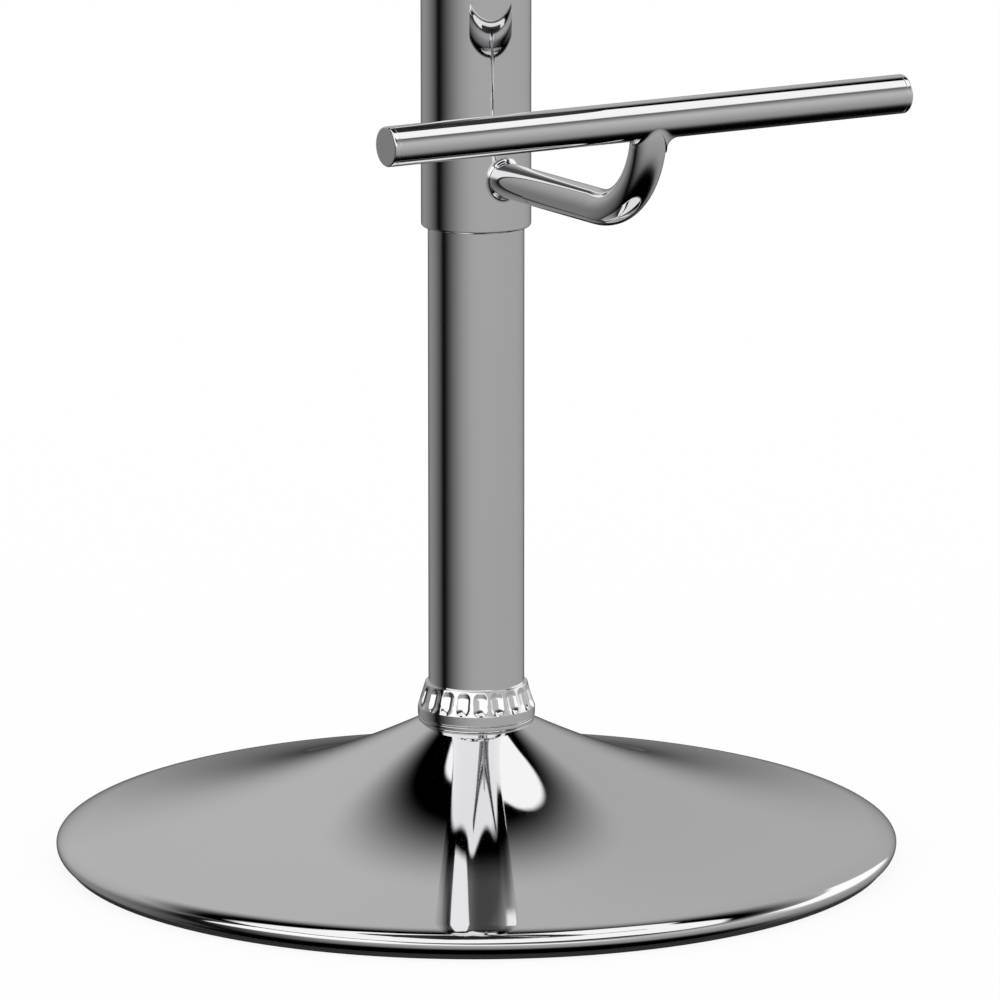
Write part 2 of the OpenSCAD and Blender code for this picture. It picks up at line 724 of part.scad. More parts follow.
module seat_plate() color(steel) difference() {
    union() {
        translate([0, 0, plate_z - plate_t]) linear_extrude(plate_t) difference() {
            square(plate_w, center = true);
            for (a = [0:90:270]) rotate(a) translate([plate_w / 2 - plate_round, plate_w / 2 - plate_round])
                difference() {
                    square(plate_round + slack);
                    circle(r = plate_round);
                }
        }
        hull() {
            slab(pan_w, plate_round, pan_z);
            slab(pan_w + 2 * pan_flare, plate_round, plate_z - plate_t);
        }
    }
    hull() {
        slab(pan_w - 2 * plate_t, plate_round - plate_t, pan_floor_z);
        slab(pan_w + 2 * pan_flare - 2 * plate_t, plate_round - plate_t, plate_z + slack);
    }
    translate([0, 0, pan_z - slack]) cylinder(r = socket_d / 2 + seat_fit, h = plate_t + 2 * slack);
    at_bolts() translate([0, 0, plate_z - plate_t - slack])
        cylinder(r = bolt_d / 2 + bolt_gap, h = plate_t + 2 * slack);
    translate([-pan_w / 2 - pan_flare, -lever_r - slot_side, elbow_z - lever_r - slot_below])
        cube([2 * pan_flare, lever_d + 2 * slot_side, slot_below + lever_d + slot_above]);
}

module seat_socket() color(steel) difference() {
    translate([0, 0, socket_z]) cylinder(d = socket_d, h = socket_top_z - socket_z);
    translate([0, 0, tube_top_z - head_taper]) cylinder(
        r1 = tube_r + seat_fit, r2 = tube_r - head_drop + seat_fit, h = head_taper);
    translate([0, 0, socket_z - head_taper])
        cylinder(r = tube_r + seat_fit, h = tube_top_z - socket_z + merge);
}

// A foot on the pan's floor and two ears that hold the pivot pin
module lever_bracket() color(steel) difference() {
    union() {
        translate([-pivot_x - ear_w / 2 - ear_t, -ear_y - ear_t, pan_floor_z])
            cube([ear_w + ear_t, 2 * (ear_y + ear_t), ear_t]);
        for (s = [-1, 1]) translate([0, s * (ear_y + ear_t / 2), 0]) {
            translate([-pivot_x - ear_w / 2, -ear_t / 2, pan_floor_z])
                cube([ear_w, ear_t, pivot_z - pan_floor_z]);
            cross_pin(-pivot_x, pivot_z, ear_r, ear_t);
        }
    }
    cross_pin(-pivot_x, pivot_z, pivot_d / 2 + seat_fit, 4 * boss_w);
}

// A plain pin with a peened head outside each ear
module lever_pin() color("silver") {
    cross_pin(-pivot_x, pivot_z, pivot_d / 2, 2 * (ear_y + ear_t + soft_gap) + slack);
    for (s = [-1, 1]) translate([0, s * (ear_y + ear_t + run_fit + pin_head_t / 2), 0])
        cross_pin(-pivot_x, pivot_z, pin_head_r, pin_head_t);
}

module lever_rod() color(chrome) difference() {
    union() {
        swept_rod(rounded(lever_path, lever_bend, bend_steps), lever_r, lever_sides);
        cross_pin(0, nose_z, nose_r, lever_d);
        cross_pin(-pivot_x, pivot_z, boss_r, boss_w);
    }
    cross_pin(-pivot_x, pivot_z, pivot_d / 2 + run_fit, 4 * boss_w);
}

// A moulded grip with a waist, turned round the lever's end
module lever_grip() color(black) translate([grip_x, 0, grip_z]) rotate([0, -90, 0])
    rotate_extrude() difference() {
        polygon(concat(
            [[0, 0], [lever_r + 1.5, 0], [lever_r + 2.2, 1]],
            curve([lever_r + 2.2, 1], [lever_r + 2.6, 0.3 * grip_len],
                [grip_d / 2, 0.35 * grip_len], [grip_d / 2, 0.65 * grip_len], 8),
            curve([grip_d / 2, 0.65 * grip_len], [grip_d / 2, 0.9 * grip_len],
                [0.35 * grip_d, grip_len], [0, grip_len], 10)
        ));
        translate([0, -slack]) square([lever_r + seat_fit, grip_len - grip_wall + slack + seat_fit]);
    }

module seat_lining() color(black) translate([0, 0, plate_z]) difference() {
    linear_extrude(lining_t) polygon(outline(board_half - lining_inset));
    at_bolts() translate([0, 0, -slack]) cylinder(r = bolt_d / 2 + bolt_gap, h = lining_t + 2 * slack);
}

module seat_board() color("burlywood") translate([0, 0, board_z]) difference() {
    linear_extrude(board_t) polygon(outline(board_half));
    at_bolts() translate([0, 0, -slack])
        cylinder(r = bolt_d / 2 + nut_wall + nut_gap, h = board_t + 2 * slack);
    at_bolts() translate([0, 0, board_t - nut_flange_t])
        cylinder(r = nut_flange_r + nut_gap, h = board_t);
}

// Rings of the pad as half side and height: the pocket for the board, then the side with
// its foot drawn in, the rounded edge and the crown
pad_rings = [
    [pocket_half, board_top_z + soft_gap], [pocket_half, board_z],
    [seat_half - side_draw, board_z], [seat_half - 0.3 * side_draw, board_z + 0.1 * seat_h],
    [seat_half, board_z + 0.3 * seat_h], [seat_half - 0.8, board_z + 0.48 * seat_h],
    [seat_half - 3.5, board_z + seat_h - crown - 14], [seat_half - 9, board_z + seat_h - crown - 5],
    [seat_half - 20, board_z + seat_h - crown], [seat_half - 45, board_z + seat_h - 0.5 * crown],
    [seat_half - 80, board_z + seat_h - 0.22 * crown],
    [seat_half - 125, board_z + seat_h - 0.06 * crown]
];

module seat_pad() color("saddlebrown") {
    n = outline_steps;
    last = len(pad_rings) - 1;
    points = concat(
        [for (r = pad_rings, p = outline(r[0])) [p[0], p[1], r[1]]],
        [[0, 0, board_top_z + soft_gap], [0, 0, board_z + seat_h]]
    );
    pocket_pole = n * (last + 1);
    crown_pole = pocket_pole + 1;
    sides = [for (k = [0:last - 1], i = [0:n - 1]) let (j = (i + 1) % n, a = k * n, b = a + n)
        each [[a + i, b + i, a + j], [a + j, b + i, b + j]]];
    pocket = [for (i = [0:n - 1]) [pocket_pole, i, (i + 1) % n]];
    top = [for (i = [0:n - 1]) [crown_pole, last * n + (i + 1) % n, last * n + i]];
    polyhedron(points, concat(sides, pocket, top));
}

module seat_bolts() color("silver") at_bolts() {
    translate([0, 0, disc_z - head_h]) difference() {
        cylinder(r = head_r, h = head_h);
        translate([0, 0, -slack]) cylinder(r = bolt_d / 3, h = 0.5 * head_h + slack, $fn = 6);
    }
    translate([0, 0, disc_z - slack]) cylinder(d = bolt_d, h = board_top_z - disc_z);
}

module bolt_washers() color("silver") at_bolts()
    ring(bolt_d / 2 + bolt_gap, disc_r, disc_z, disc_t);

// A sleeve with a flange on the board's upper face
module tee_nuts() color("gold") at_bolts() {
    ring(bolt_d / 2 + seat_fit, bolt_d / 2 + nut_wall, board_z + nut_inset, board_t - nut_inset);
    ring(bolt_d / 2 + nut_wall - nut_gap, nut_flange_r, board_top_z - nut_flange_t, nut_flange_t);
}

base_shell();
floor_ring();
hub_socket();
hub_dish();
step_ring();
collar_ring();
lower_column();
column_end_plate();
thrust_washer_lower();
thrust_cage();
thrust_balls();
guide_bushing();
thrust_washer_upper();
piston_rod();
retaining_clip();
buffer();
piston();
piston_seal();
pressure_tube();
rod_guide();
rod_seal();
valve_body();
release_pin();
cover_sleeve();
sleeve_glide();
footrest_arm();
foot_bar();
bar_cap_left();
bar_cap_right();
seat_plate();
seat_socket();
lever_bracket();
lever_pin();
lever_rod();
lever_grip();
seat_lining();
seat_board();
seat_pad();
seat_bolts();
bolt_washers();
tee_nuts();
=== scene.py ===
"""The looks of a swivel bar stool: chromed steel, black rubber and a padded leatherette seat.

Every shape is worked out in millimetres in the stool's own frame, +Z up along the column and -Y
towards the footrest, and is turned into metres where its mesh is made.
"""

import json
import logging
import math
from dataclasses import dataclass, field
from enum import Enum
from typing import Any, Sequence

import bmesh
import bpy
import numpy as np
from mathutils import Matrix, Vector


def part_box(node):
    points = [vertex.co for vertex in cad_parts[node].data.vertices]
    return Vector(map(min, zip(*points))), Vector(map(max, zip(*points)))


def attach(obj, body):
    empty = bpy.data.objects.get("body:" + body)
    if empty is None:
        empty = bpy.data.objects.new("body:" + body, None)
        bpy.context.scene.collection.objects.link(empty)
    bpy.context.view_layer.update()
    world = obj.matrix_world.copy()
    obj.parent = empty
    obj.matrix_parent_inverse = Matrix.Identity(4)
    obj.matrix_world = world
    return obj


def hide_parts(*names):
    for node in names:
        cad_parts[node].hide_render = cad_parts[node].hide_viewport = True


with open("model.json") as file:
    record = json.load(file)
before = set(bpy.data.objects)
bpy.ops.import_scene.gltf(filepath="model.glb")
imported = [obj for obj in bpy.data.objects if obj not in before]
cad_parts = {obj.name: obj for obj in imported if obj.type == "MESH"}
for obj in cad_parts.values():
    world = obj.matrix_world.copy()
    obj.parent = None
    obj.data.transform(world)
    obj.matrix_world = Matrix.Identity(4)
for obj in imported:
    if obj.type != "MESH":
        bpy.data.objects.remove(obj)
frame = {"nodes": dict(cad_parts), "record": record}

MM = 0.001
FULL_TURN = 2 * math.pi
RIGHT_ANGLE = math.pi / 2

log = logging.getLogger("bar_stool")

Array = np.ndarray
Corner = tuple[float, float, float]
Tone = float | bpy.types.NodeSocket


class Body(Enum):
    """The bodies that carry the pieces made here. The rod and the valve keep their own nodes."""

    PEDESTAL = "pedestal"
    UPPER = "seat_upper"
    LEVER = "height_lever"


class Axis(Enum):
    """Where a turned shape's own axis points."""

    UP = ((1, 0, 0), (0, 1, 0), (0, 0, 1))
    RIGHT = ((0, 0, -1), (0, 1, 0), (1, 0, 0))
    LEFT = ((0, 0, 1), (0, 1, 0), (-1, 0, 0))
    BACK = ((1, 0, 0), (0, 0, -1), (0, 1, 0))


def linear(code: str) -> tuple[float, float, float, float]:
    """Turns an sRGB hex colour to linear light.

    Args:
        code: Six hex digits, such as "c8c8c8".

    Returns:
        Red, green, blue and an alpha of 1.
    """
    shares = [int(code[i:i + 2], 16) / 255 for i in (0, 2, 4)]
    red, green, blue = (s / 12.92 if s <= 0.04045 else ((s + 0.055) / 1.055) ** 2.4 for s in shares)
    return red, green, blue, 1.0


def add_node(tree: bpy.types.NodeTree, kind: str, inputs: Any = (), output: int | str = 0,
             **settings: Any) -> bpy.types.NodeSocket:
    """Adds a shader node, sets it, and fills or links its inputs.

    Args:
        tree: The node tree that gets the node.
        kind: The node's type without its ShaderNode prefix.
        inputs: Values or sockets, in order or by input name; None leaves an input as it is.
        output: The output to give back, by number or name.
        settings: Properties of the node.

    Returns:
        The chosen output socket.
    """
    node = tree.nodes.new("ShaderNode" + kind)
    for name, value in settings.items():
        setattr(node, name, value)
    pairs = inputs.items() if isinstance(inputs, dict) else enumerate(inputs)
    for key, value in pairs:
        if isinstance(value, bpy.types.NodeSocket):
            tree.links.new(value, node.inputs[key])
        elif value is not None:
            node.inputs[key].default_value = value
    return node.outputs[output]


def blend(tree: bpy.types.NodeTree, value: Tone, border: tuple[Tone, Tone], before: Tone, after: Tone,
          smooth: bool = True) -> bpy.types.NodeSocket:
    """Goes from one tone to another as a value crosses a soft border, by one MapRange node.

    Args:
        tree: The node tree that gets the node.
        value: What crosses the border.
        border: Where the change starts and ends.
        before: The tone below the border, a number or another node's output.
        after: The tone past it.
        smooth: Eases the change in and out; otherwise it is even.

    Returns:
        The blended tone.
    """
    return add_node(tree, "MapRange", {"Value": value, "From Min": border[0], "From Max": border[1],
                                       "To Min": before, "To Max": after},
                    interpolation_type="SMOOTHSTEP" if smooth else "LINEAR")


@dataclass(frozen=True)
class Finish:
    """What a surface is made of. Sizes of patterns are in millimetres.

    Attributes:
        name: The material's common name and how its surface was made.
        colour: The main colour as sRGB hex.
        second: The colour that the first one drifts to in patches.
        roughness: How matt the surface is where nothing marks it.
        metallic: 1 on bare metal, 0 elsewhere.
        grain_mm: Spacing of the surface's finest pattern.
        bump: Strength of that pattern.
        drift_mm: Size of the patches of the second colour.
        uneven: How much the roughness wanders.
    """

    name: str
    colour: str
    second: str
    roughness: float
    metallic: float = 0.0
    grain_mm: float = 1.0
    bump: float = 0.1
    drift_mm: float = 60.0
    uneven: float = 0.05

    def material(self) -> bpy.types.Material:
        """Builds the material: a shader whose colour, roughness and bump come from this finish.

        Returns:
            The new material.
        """
        made = bpy.data.materials.new(self.name)
        made.use_nodes = True
        tree = made.node_tree
        tree.nodes.clear()
        place = add_node(tree, "TexCoord", output="Object")
        surface = add_node(tree, "BsdfPrincipled", {"Metallic": self.metallic})
        self.dress(tree, surface.node, place)
        end = tree.nodes.new("ShaderNodeOutputMaterial")
        tree.links.new(surface, end.inputs["Surface"])
        return made

    def patches(self, tree: bpy.types.NodeTree, place: bpy.types.NodeSocket) -> bpy.types.NodeSocket:
        """Soft noise at the drift's size, from 0 to 1."""
        return add_node(tree, "TexNoise", {"Vector": place, "Scale": 1 / (self.drift_mm * MM), "Detail": 3.0})

    def drifted(self, tree: bpy.types.NodeTree, share: bpy.types.NodeSocket) -> bpy.types.NodeSocket:
        """The main colour going over to the second one by a share."""
        return add_node(tree, "Mix", {"Factor": share, "A": linear(self.colour), "B": linear(self.second)},
                        output="Result", data_type="RGBA")

    def wandering(self, tree: bpy.types.NodeTree, share: bpy.types.NodeSocket) -> bpy.types.NodeSocket:
        """The roughness, less or more by the unevenness as a share goes from 0 to 1."""
        return add_node(tree, "MapRange", {"Value": share, "To Min": self.roughness - self.uneven,
                                           "To Max": self.roughness + self.uneven})

    def dress(self, tree: bpy.types.NodeTree, shader: bpy.types.Node, place: bpy.types.NodeSocket) -> None:
        """Fills the shader's inputs.

        Args:
            tree: The material's node tree.
            shader: The Principled shader.
            place: The surface's own coordinates, in metres.
        """
        share = self.patches(tree, place)
        tree.links.new(self.drifted(tree, share), shader.inputs["Base Color"])
        tree.links.new(self.wandering(tree, share), shader.inputs["Roughness"])
        grain = add_node(tree, "TexNoise", {"Vector": place, "Scale": 1 / (self.grain_mm * MM), "Detail": 2.0})
        relief = add_node(tree, "Bump", {"Height": grain, "Strength": self.bump, "Distance": 0.1 * MM})
        tree.links.new(relief, shader.inputs["Normal"])


@dataclass(frozen=True)
class TurnedMetal(Finish):
    """Bare metal left by a lathe or a drawing die: fine rings round its axis catch the light."""

    def dress(self, tree: bpy.types.NodeTree, shader: bpy.types.Node, place: bpy.types.NodeSocket) -> None:
        """Squeezes the grain's noise along Z, so that it lies in rings.

        Args:
            tree: The material's node tree.
            shader: The surface that gets the colour, roughness and bump.
            place: Object coordinates.
        """
        rings = add_node(tree, "Mapping", {"Vector": place, "Scale": (0.03, 0.03, 1.0)})
        share = self.patches(tree, place)
        lines = add_node(tree, "TexNoise", {"Vector": rings, "Scale": 1 / (self.grain_mm * MM), "Detail": 4.0})
        tree.links.new(self.drifted(tree, lines), shader.inputs["Base Color"])
        tree.links.new(self.wandering(tree, share), shader.inputs["Roughness"])
        relief = add_node(tree, "Bump", {"Height": lines, "Strength": self.bump, "Distance": 0.05 * MM})
        tree.links.new(relief, shader.inputs["Normal"])


@dataclass(frozen=True)
class Plywood(Finish):
    """Sanded birch plywood: long streaks on its faces and thin layers round its edge."""

    def dress(self, tree: bpy.types.NodeTree, shader: bpy.types.Node, place: bpy.types.NodeSocket) -> None:
        """Stretches noise along X for the streaks and bands Z for the layers.

        Args:
            tree: The material's node tree.
            shader: The surface that gets the colour, roughness and bump.
            place: Object coordinates.
        """
        along = add_node(tree, "Mapping", {"Vector": place, "Scale": (0.06, 1.0, 1.0)})
        streaks = add_node(tree, "TexNoise", {"Vector": along, "Scale": 1 / (4 * self.grain_mm * MM),
                                              "Detail": 6.0, "Distortion": 0.4})
        layers = add_node(tree, "TexWave", {"Vector": place, "Scale": 1 / (3 * self.grain_mm * MM) / FULL_TURN},
                          bands_direction="Z")
        share = add_node(tree, "Math", (streaks, layers), operation="MULTIPLY")
        tree.links.new(self.drifted(tree, share), shader.inputs["Base Color"])
        tree.links.new(self.wandering(tree, streaks), shader.inputs["Roughness"])
        relief = add_node(tree, "Bump", {"Height": streaks, "Strength": self.bump, "Distance": 0.1 * MM})
        tree.links.new(relief, shader.inputs["Normal"])


@dataclass(frozen=True)
class Felted(Finish):
    """Cloth pressed from loose fibres: matt, with a short fuzz."""

    def dress(self, tree: bpy.types.NodeTree, shader: bpy.types.Node, place: bpy.types.NodeSocket) -> None:
        """Crosses two stretched noises for the fibres.

        Args:
            tree: The material's node tree.
            shader: The surface that gets the colour, roughness and bump.
            place: Object coordinates.
        """
        across = add_node(tree, "Mapping", {"Vector": place, "Scale": (1.0, 0.2, 1.0)})
        along = add_node(tree, "Mapping", {"Vector": place, "Scale": (0.2, 1.0, 1.0)})
        scale = 1 / (self.grain_mm * MM)
        first = add_node(tree, "TexNoise", {"Vector": across, "Scale": scale, "Detail": 4.0})
        other = add_node(tree, "TexNoise", {"Vector": along, "Scale": scale, "Detail": 4.0})
        fibres = add_node(tree, "Math", (first, other), operation="MAXIMUM")
        tree.links.new(self.drifted(tree, fibres), shader.inputs["Base Color"])
        tree.links.new(self.wandering(tree, fibres), shader.inputs["Roughness"])
        shader.inputs["Sheen Weight"].default_value = 0.3
        relief = add_node(tree, "Bump", {"Height": fibres, "Strength": self.bump, "Distance": 0.4 * MM})
        tree.links.new(relief, shader.inputs["Normal"])


@dataclass(frozen=True)
class Leatherette(Finish):
    """Coated fabric with an embossed leather grain: small rounded pebbles with finer creases."""

    def dress(self, tree: bpy.types.NodeTree, shader: bpy.types.Node, place: bpy.types.NodeSocket) -> None:
        """Raises each cell of a Voronoi pattern into a pebble and paints shade into the creases between, by
        darkening the colour there.

        Args:
            tree: The material's node tree.
            shader: The surface that gets the colour, roughness and bump.
            place: Object coordinates.
        """
        share = self.patches(tree, place)
        bent = add_node(tree, "TexNoise", {"Vector": place, "Scale": 0.5 / (self.grain_mm * MM), "Detail": 2.0},
                        output="Color")
        moved = add_node(tree, "Mix", {"Factor": 0.0006, "A": place, "B": bent}, output="Result",
                         data_type="RGBA")
        pebbles = add_node(tree, "TexVoronoi", {"Vector": moved, "Scale": 1 / (self.grain_mm * MM)},
                           output="Distance", feature="DISTANCE_TO_EDGE")
        swell = blend(tree, pebbles, (0.0, 0.25), 0.0, 1.0)
        fine = add_node(tree, "TexNoise", {"Vector": place, "Scale": 3 / (self.grain_mm * MM), "Detail": 3.0})
        height = add_node(tree, "Mix", {"Factor": 0.2, "A": swell, "B": fine}, output="Result",
                          data_type="FLOAT")
        # Painted shade: the colour falls to 0.7 of itself in the creases between the pebbles, where shade would
        # fall.
        crease = add_node(tree, "MapRange", {"Value": swell, "To Min": 0.7, "To Max": 1.0})
        tone = self.drifted(tree, share)
        # The leather's colour with the painted crease shade multiplied in.
        shaded = add_node(tree, "Mix", {"Factor": 1.0, "A": tone, "B": crease}, output="Result",
                          data_type="RGBA", blend_type="MULTIPLY")
        tree.links.new(shaded, shader.inputs["Base Color"])
        tree.links.new(self.wandering(tree, share), shader.inputs["Roughness"])
        relief = add_node(tree, "Bump", {"Height": height, "Strength": self.bump, "Distance": 0.25 * MM})
        tree.links.new(relief, shader.inputs["Normal"])


class Slot(Enum):
    """The record's material slots, each with its finish."""

    base_chrome = Finish("bright_chrome_on_spun_steel", "e9e9ea", "e6e6e8", 0.03, 1.0, 3.0, 0.006, 90, 0.012)
    tube_chrome = Finish("bright_chrome_on_drawn_tube", "e9e9ea", "e6e6e8", 0.025, 1.0, 3.0, 0.004, 70, 0.01)
    trim_chrome = Finish("bright_chrome_on_turned_trim", "ececed", "e8e8ea", 0.03, 1.0, 2.0, 0.004, 40, 0.01)
    plain_steel = TurnedMetal("plain_pressed_steel", "a9aaac", "8d8e90", 0.42, 1.0, 0.8, 0.15, 30, 0.08)
    bearing_steel = TurnedMetal("ground_bearing_steel", "c9cacc", "b4b5b8", 0.22, 1.0, 0.4, 0.1, 25, 0.05)
    zinc_steel = TurnedMetal("zinc_plated_steel", "cdced1", "b6b8be", 0.3, 1.0, 0.6, 0.1, 12, 0.08)
    cage_brass = TurnedMetal("turned_brass", "d8b56a", "c29d55", 0.28, 1.0, 0.5, 0.1, 15, 0.06)
    alloy = TurnedMetal("machined_aluminium", "d6d7d9", "c3c4c8", 0.3, 1.0, 0.5, 0.12, 20, 0.06)
    black_enamel = Finish("black_stoved_enamel", "1d1d1e", "232324", 0.36, 0.0, 1.6, 0.25, 50, 0.06)
    black_rubber = Finish("black_moulded_rubber", "1b1b1b", "262626", 0.78, 0.0, 0.7, 0.4, 25, 0.08)
    black_plastic = Finish("black_moulded_plastic", "1c1c1d", "222223", 0.5, 0.0, 0.5, 0.45, 30, 0.06)
    white_acetal = Finish("natural_acetal", "e9e7df", "dedcd2", 0.4, 0.0, 0.8, 0.1, 30, 0.05)
    plywood = Plywood("birch_plywood", "d9bd8e", "b8935f", 0.6, 0.0, 1.0, 0.3, 40, 0.08)
    lining_cloth = Felted("black_felted_lining", "1a1a1b", "2b2b2d", 0.9, 0.0, 0.7, 0.6, 40, 0.05)
    brown_leatherette = Leatherette("brown_embossed_leatherette", "4a3129", "3c2720", 0.42, 0.0, 1.5, 0.5, 70,
                                    0.06)


@dataclass(frozen=True)
class Thread(Finish):
    """Waxed polyester thread, twisted from strands that show as slanting ridges."""

    def dress(self, tree: bpy.types.NodeTree, shader: bpy.types.Node, place: bpy.types.NodeSocket) -> None:
        """Bands the thread across its run for its twist.

        Args:
            tree: The material's node tree.
            shader: The surface that gets the colour, roughness and bump.
            place: Object coordinates.
        """
        twist = add_node(tree, "TexWave", {"Vector": place, "Scale": 1 / (self.grain_mm * MM) / FULL_TURN,
                                           "Distortion": 1.0}, bands_direction="DIAGONAL")
        tree.links.new(self.drifted(tree, twist), shader.inputs["Base Color"])
        tree.links.new(self.wandering(tree, twist), shader.inputs["Roughness"])
        relief = add_node(tree, "Bump", {"Height": twist, "Strength": self.bump, "Distance": 0.1 * MM})
        tree.links.new(relief, shader.inputs["Normal"])


SEAT_THREAD = Thread("brown_waxed_thread", "5c4236", "49332a", 0.55, 0.0, 0.6, 0.5)


class Wardrobe:
    """Makes each finish's material once and hands it out."""

    def __init__(self) -> None:
        """Starts with no material made."""
        self.made: dict[str, bpy.types.Material] = {}

    def __call__(self, finish: Finish) -> bpy.types.Material:
        """The material of a finish.

        Args:
            finish: The finish that is wanted.

        Returns:
            Its material, made at the first call.
        """
        if finish.name not in self.made:
            self.made[finish.name] = finish.material()
        return self.made[finish.name]


def grid_faces(rows: int, columns: int, ring_rows: bool = False, ring_columns: bool = True) -> Array:
    """Quads between the neighbours of a grid of points, numbered row by row.

    Args:
        rows: Rows of points.
        columns: Points in a row.
        ring_rows: Whether the last row joins the first.
        ring_columns: Whether a row's last point joins its first.

    Returns:
        Point numbers, four to a face.
    """
    i = np.arange(rows if ring_rows else rows - 1)[:, None]
    j = np.arange(columns if ring_columns else columns - 1)[None, :]
    below, beside = (i + 1) % rows * columns, (j + 1) % columns
    quads = np.stack([i * columns + j, i * columns + beside, below + beside, below + j], axis=-1)
    return quads.reshape(-1, 4)


def solid_volume(points: Array, quads: Array) -> float:
    """Volume inside a closed surface: the sum of the boxes that each face spans with the origin, over 6."""
    a, b, c, d = (points[quads[:, k]] for k in range(4))
    return float((np.cross(b - a, c - a) * a).sum() + (np.cross(c - a, d - a) * a).sum()) / 6


def make_piece(name: str, points: Array, quads: Array, crease: float = 32.0,
               weld: bool = False) -> bpy.types.Object:
    """Makes a closed piece with its faces outwards.

    Args:
        name: The piece's name.
        points: Points in millimetres, one a row.
        quads: Point numbers, four to a face.
        crease: Edges that turn by more degrees than this stay sharp.
        weld: Whether points that fall together, as at a pole, are joined.

    Returns:
        The new object, at the origin.
    """
    points = np.asarray(points, float).reshape(-1, 3)
    if solid_volume(points, quads) < 0:
        quads = quads[:, ::-1]
    mesh = bpy.data.meshes.new(name)
    mesh.from_pydata((points * MM).tolist(), [], quads.tolist())
    if weld:
        mesh.validate()
        welded(mesh)
    mesh.shade_smooth()
    mesh.set_sharp_from_angle(angle=math.radians(crease))
    made = bpy.data.objects.new(name, mesh)
    bpy.context.scene.collection.objects.link(made)
    return made


def welded(mesh: bpy.types.Mesh) -> None:
    """Joins points of a mesh that fall together.

    Args:
        mesh: The mesh, changed in place.
    """
    work = bmesh.new()
    work.from_mesh(mesh)
    bmesh.ops.remove_doubles(work, verts=work.verts, dist=1e-7)
    bmesh.ops.dissolve_degenerate(work, edges=work.edges, dist=1e-8)
    work.to_mesh(mesh)
    work.free()


def spread(start: Array, end: Array, widest: float = 6.0) -> Array:
    """Points of a straight run without its last one, close together at its ends.

    The shares along the run follow half a cosine wave, so that shading stays true beside a bend.

    Args:
        start: First point.
        end: Last point, which is left out.
        widest: About the largest step.

    Returns:
        The points, one to a row.
    """
    count = int(np.clip(np.linalg.norm(end - start) / widest, 4, 60))
    shares = (1 - np.cos(np.linspace(0, math.pi, count, endpoint=False))) / 2
    return start + shares[:, None] * (end - start)


def outline(corners: Sequence[Corner], closed: bool = True, steps: int = 10, widest: float = 6.0) -> Array:
    """A flat outline whose corners are arcs that touch both of their sides.

    Args:
        corners: Place and radius of each corner. A radius of 0 stays sharp.
        closed: Whether the last corner runs on to the first.
        steps: Points in an arc.
        widest: About the widest step along a side.

    Returns:
        The outline's points, two numbers a row.
    """
    spots = np.array([c[:2] for c in corners], float)
    ways = np.roll(spots, -1, axis=0) - spots
    ways /= np.linalg.norm(ways, axis=1)[:, None]
    arcs = []
    for k, (_, _, radius) in enumerate(corners):
        before, after = ways[k - 1], ways[k]
        turn = math.atan2(before[0] * after[1] - before[1] * after[0], float(before @ after))
        if radius == 0 or (not closed and k in (0, len(corners) - 1)):
            arcs.append(spots[k:k + 1])
            continue
        side = math.copysign(1, turn) * np.array([-before[1], before[0]])
        centre = spots[k] - radius * math.tan(abs(turn) / 2) * before + radius * side
        angles = turn * np.linspace(0, 1, steps)[:, None]
        forward = np.sin(angles) * math.copysign(1, turn) * before
        arcs.append(centre - radius * (np.cos(angles) * side - forward))
    parts = []
    for k, arc in enumerate(arcs):
        parts.append(arc[:-1])
        if closed or k < len(arcs) - 1:
            parts.append(spread(arc[-1], arcs[(k + 1) % len(arcs)][0], widest))
    if not closed:
        parts.append(arcs[-1][-1:])
    return np.concatenate(parts)


def bezier(a: Sequence[float], b: Sequence[float], c: Sequence[float], d: Sequence[float], count: int) -> Array:
    """Points from a to d on the cubic curve that b and c pull, without the first.

    Args:
        a: Where the curve starts.
        b: What pulls its start.
        c: What pulls its end.
        d: Where it ends.
        count: How many points it gets.

    Returns:
        The points, one to a row.
    """
    t = np.linspace(0, 1, count + 1)[1:, None]
    a, b, c, d = (np.asarray(p, float) for p in (a, b, c, d))
    return (1 - t) ** 3 * a + 3 * (1 - t) ** 2 * t * b + 3 * (1 - t) * t ** 2 * c + t ** 3 * d


def beside(path: Array, distance: float) -> Array:
    """A flat path moved sideways, to the right of its run, by a distance.

    Args:
        path: Points of the path, one to a row.
        distance: How far to the right it goes.

    Returns:
        The moved points.
    """
    run = np.gradient(path, axis=0)
    run /= np.linalg.norm(run, axis=1)[:, None]
    return path + distance * np.stack([run[:, 1], -run[:, 0]], axis=1)


def lathe(radius: Array, height: Array, sides: int) -> Array:
    """Rows of points round Z. A row has one radius, or one for each of its points."""
    angles = np.linspace(0, FULL_TURN, sides, endpoint=False)
    return np.stack([radius * np.cos(angles), radius * np.sin(angles), height + 0 * angles], axis=-1)


def turned(name: str, profile: Array, sides: int = 192, axis: Axis = Axis.UP,
           at: Sequence[float] = (0, 0, 0), closed: bool = True) -> bpy.types.Object:
    """Turns a profile of radius and height round an axis: (r cos a, r sin a, h).

    Args:
        name: The piece's name.
        profile: Radius and height, one point a row.
        sides: Points in a turn.
        axis: Where the shape's axis points.
        at: The place of the shape's origin.
        closed: Whether the profile is a ring. If not, it starts and ends on the axis.

    Returns:
        The new object.
    """
    points = lathe(profile[:, :1], profile[:, 1:], sides) @ np.array(axis.value, float) + np.asarray(at, float)
    return make_piece(name, points, grid_faces(len(profile), sides, ring_rows=closed), weld=not closed)


def repeated(points: Array, quads: Array, places: Sequence[Corner]) -> tuple[Array, Array]:
    """The same small shape at several places, as points and faces of one mesh.

    Args:
        points: The shape's points.
        quads: Its faces.
        places: Where each copy's origin goes.

    Returns:
        Points and faces of all the copies.
    """
    points = points.reshape(-1, 3)
    first = np.arange(len(places))[:, None, None] * len(points)
    return (points + np.array(places, float)[:, None]).reshape(-1, 3), (quads + first).reshape(-1, 4)


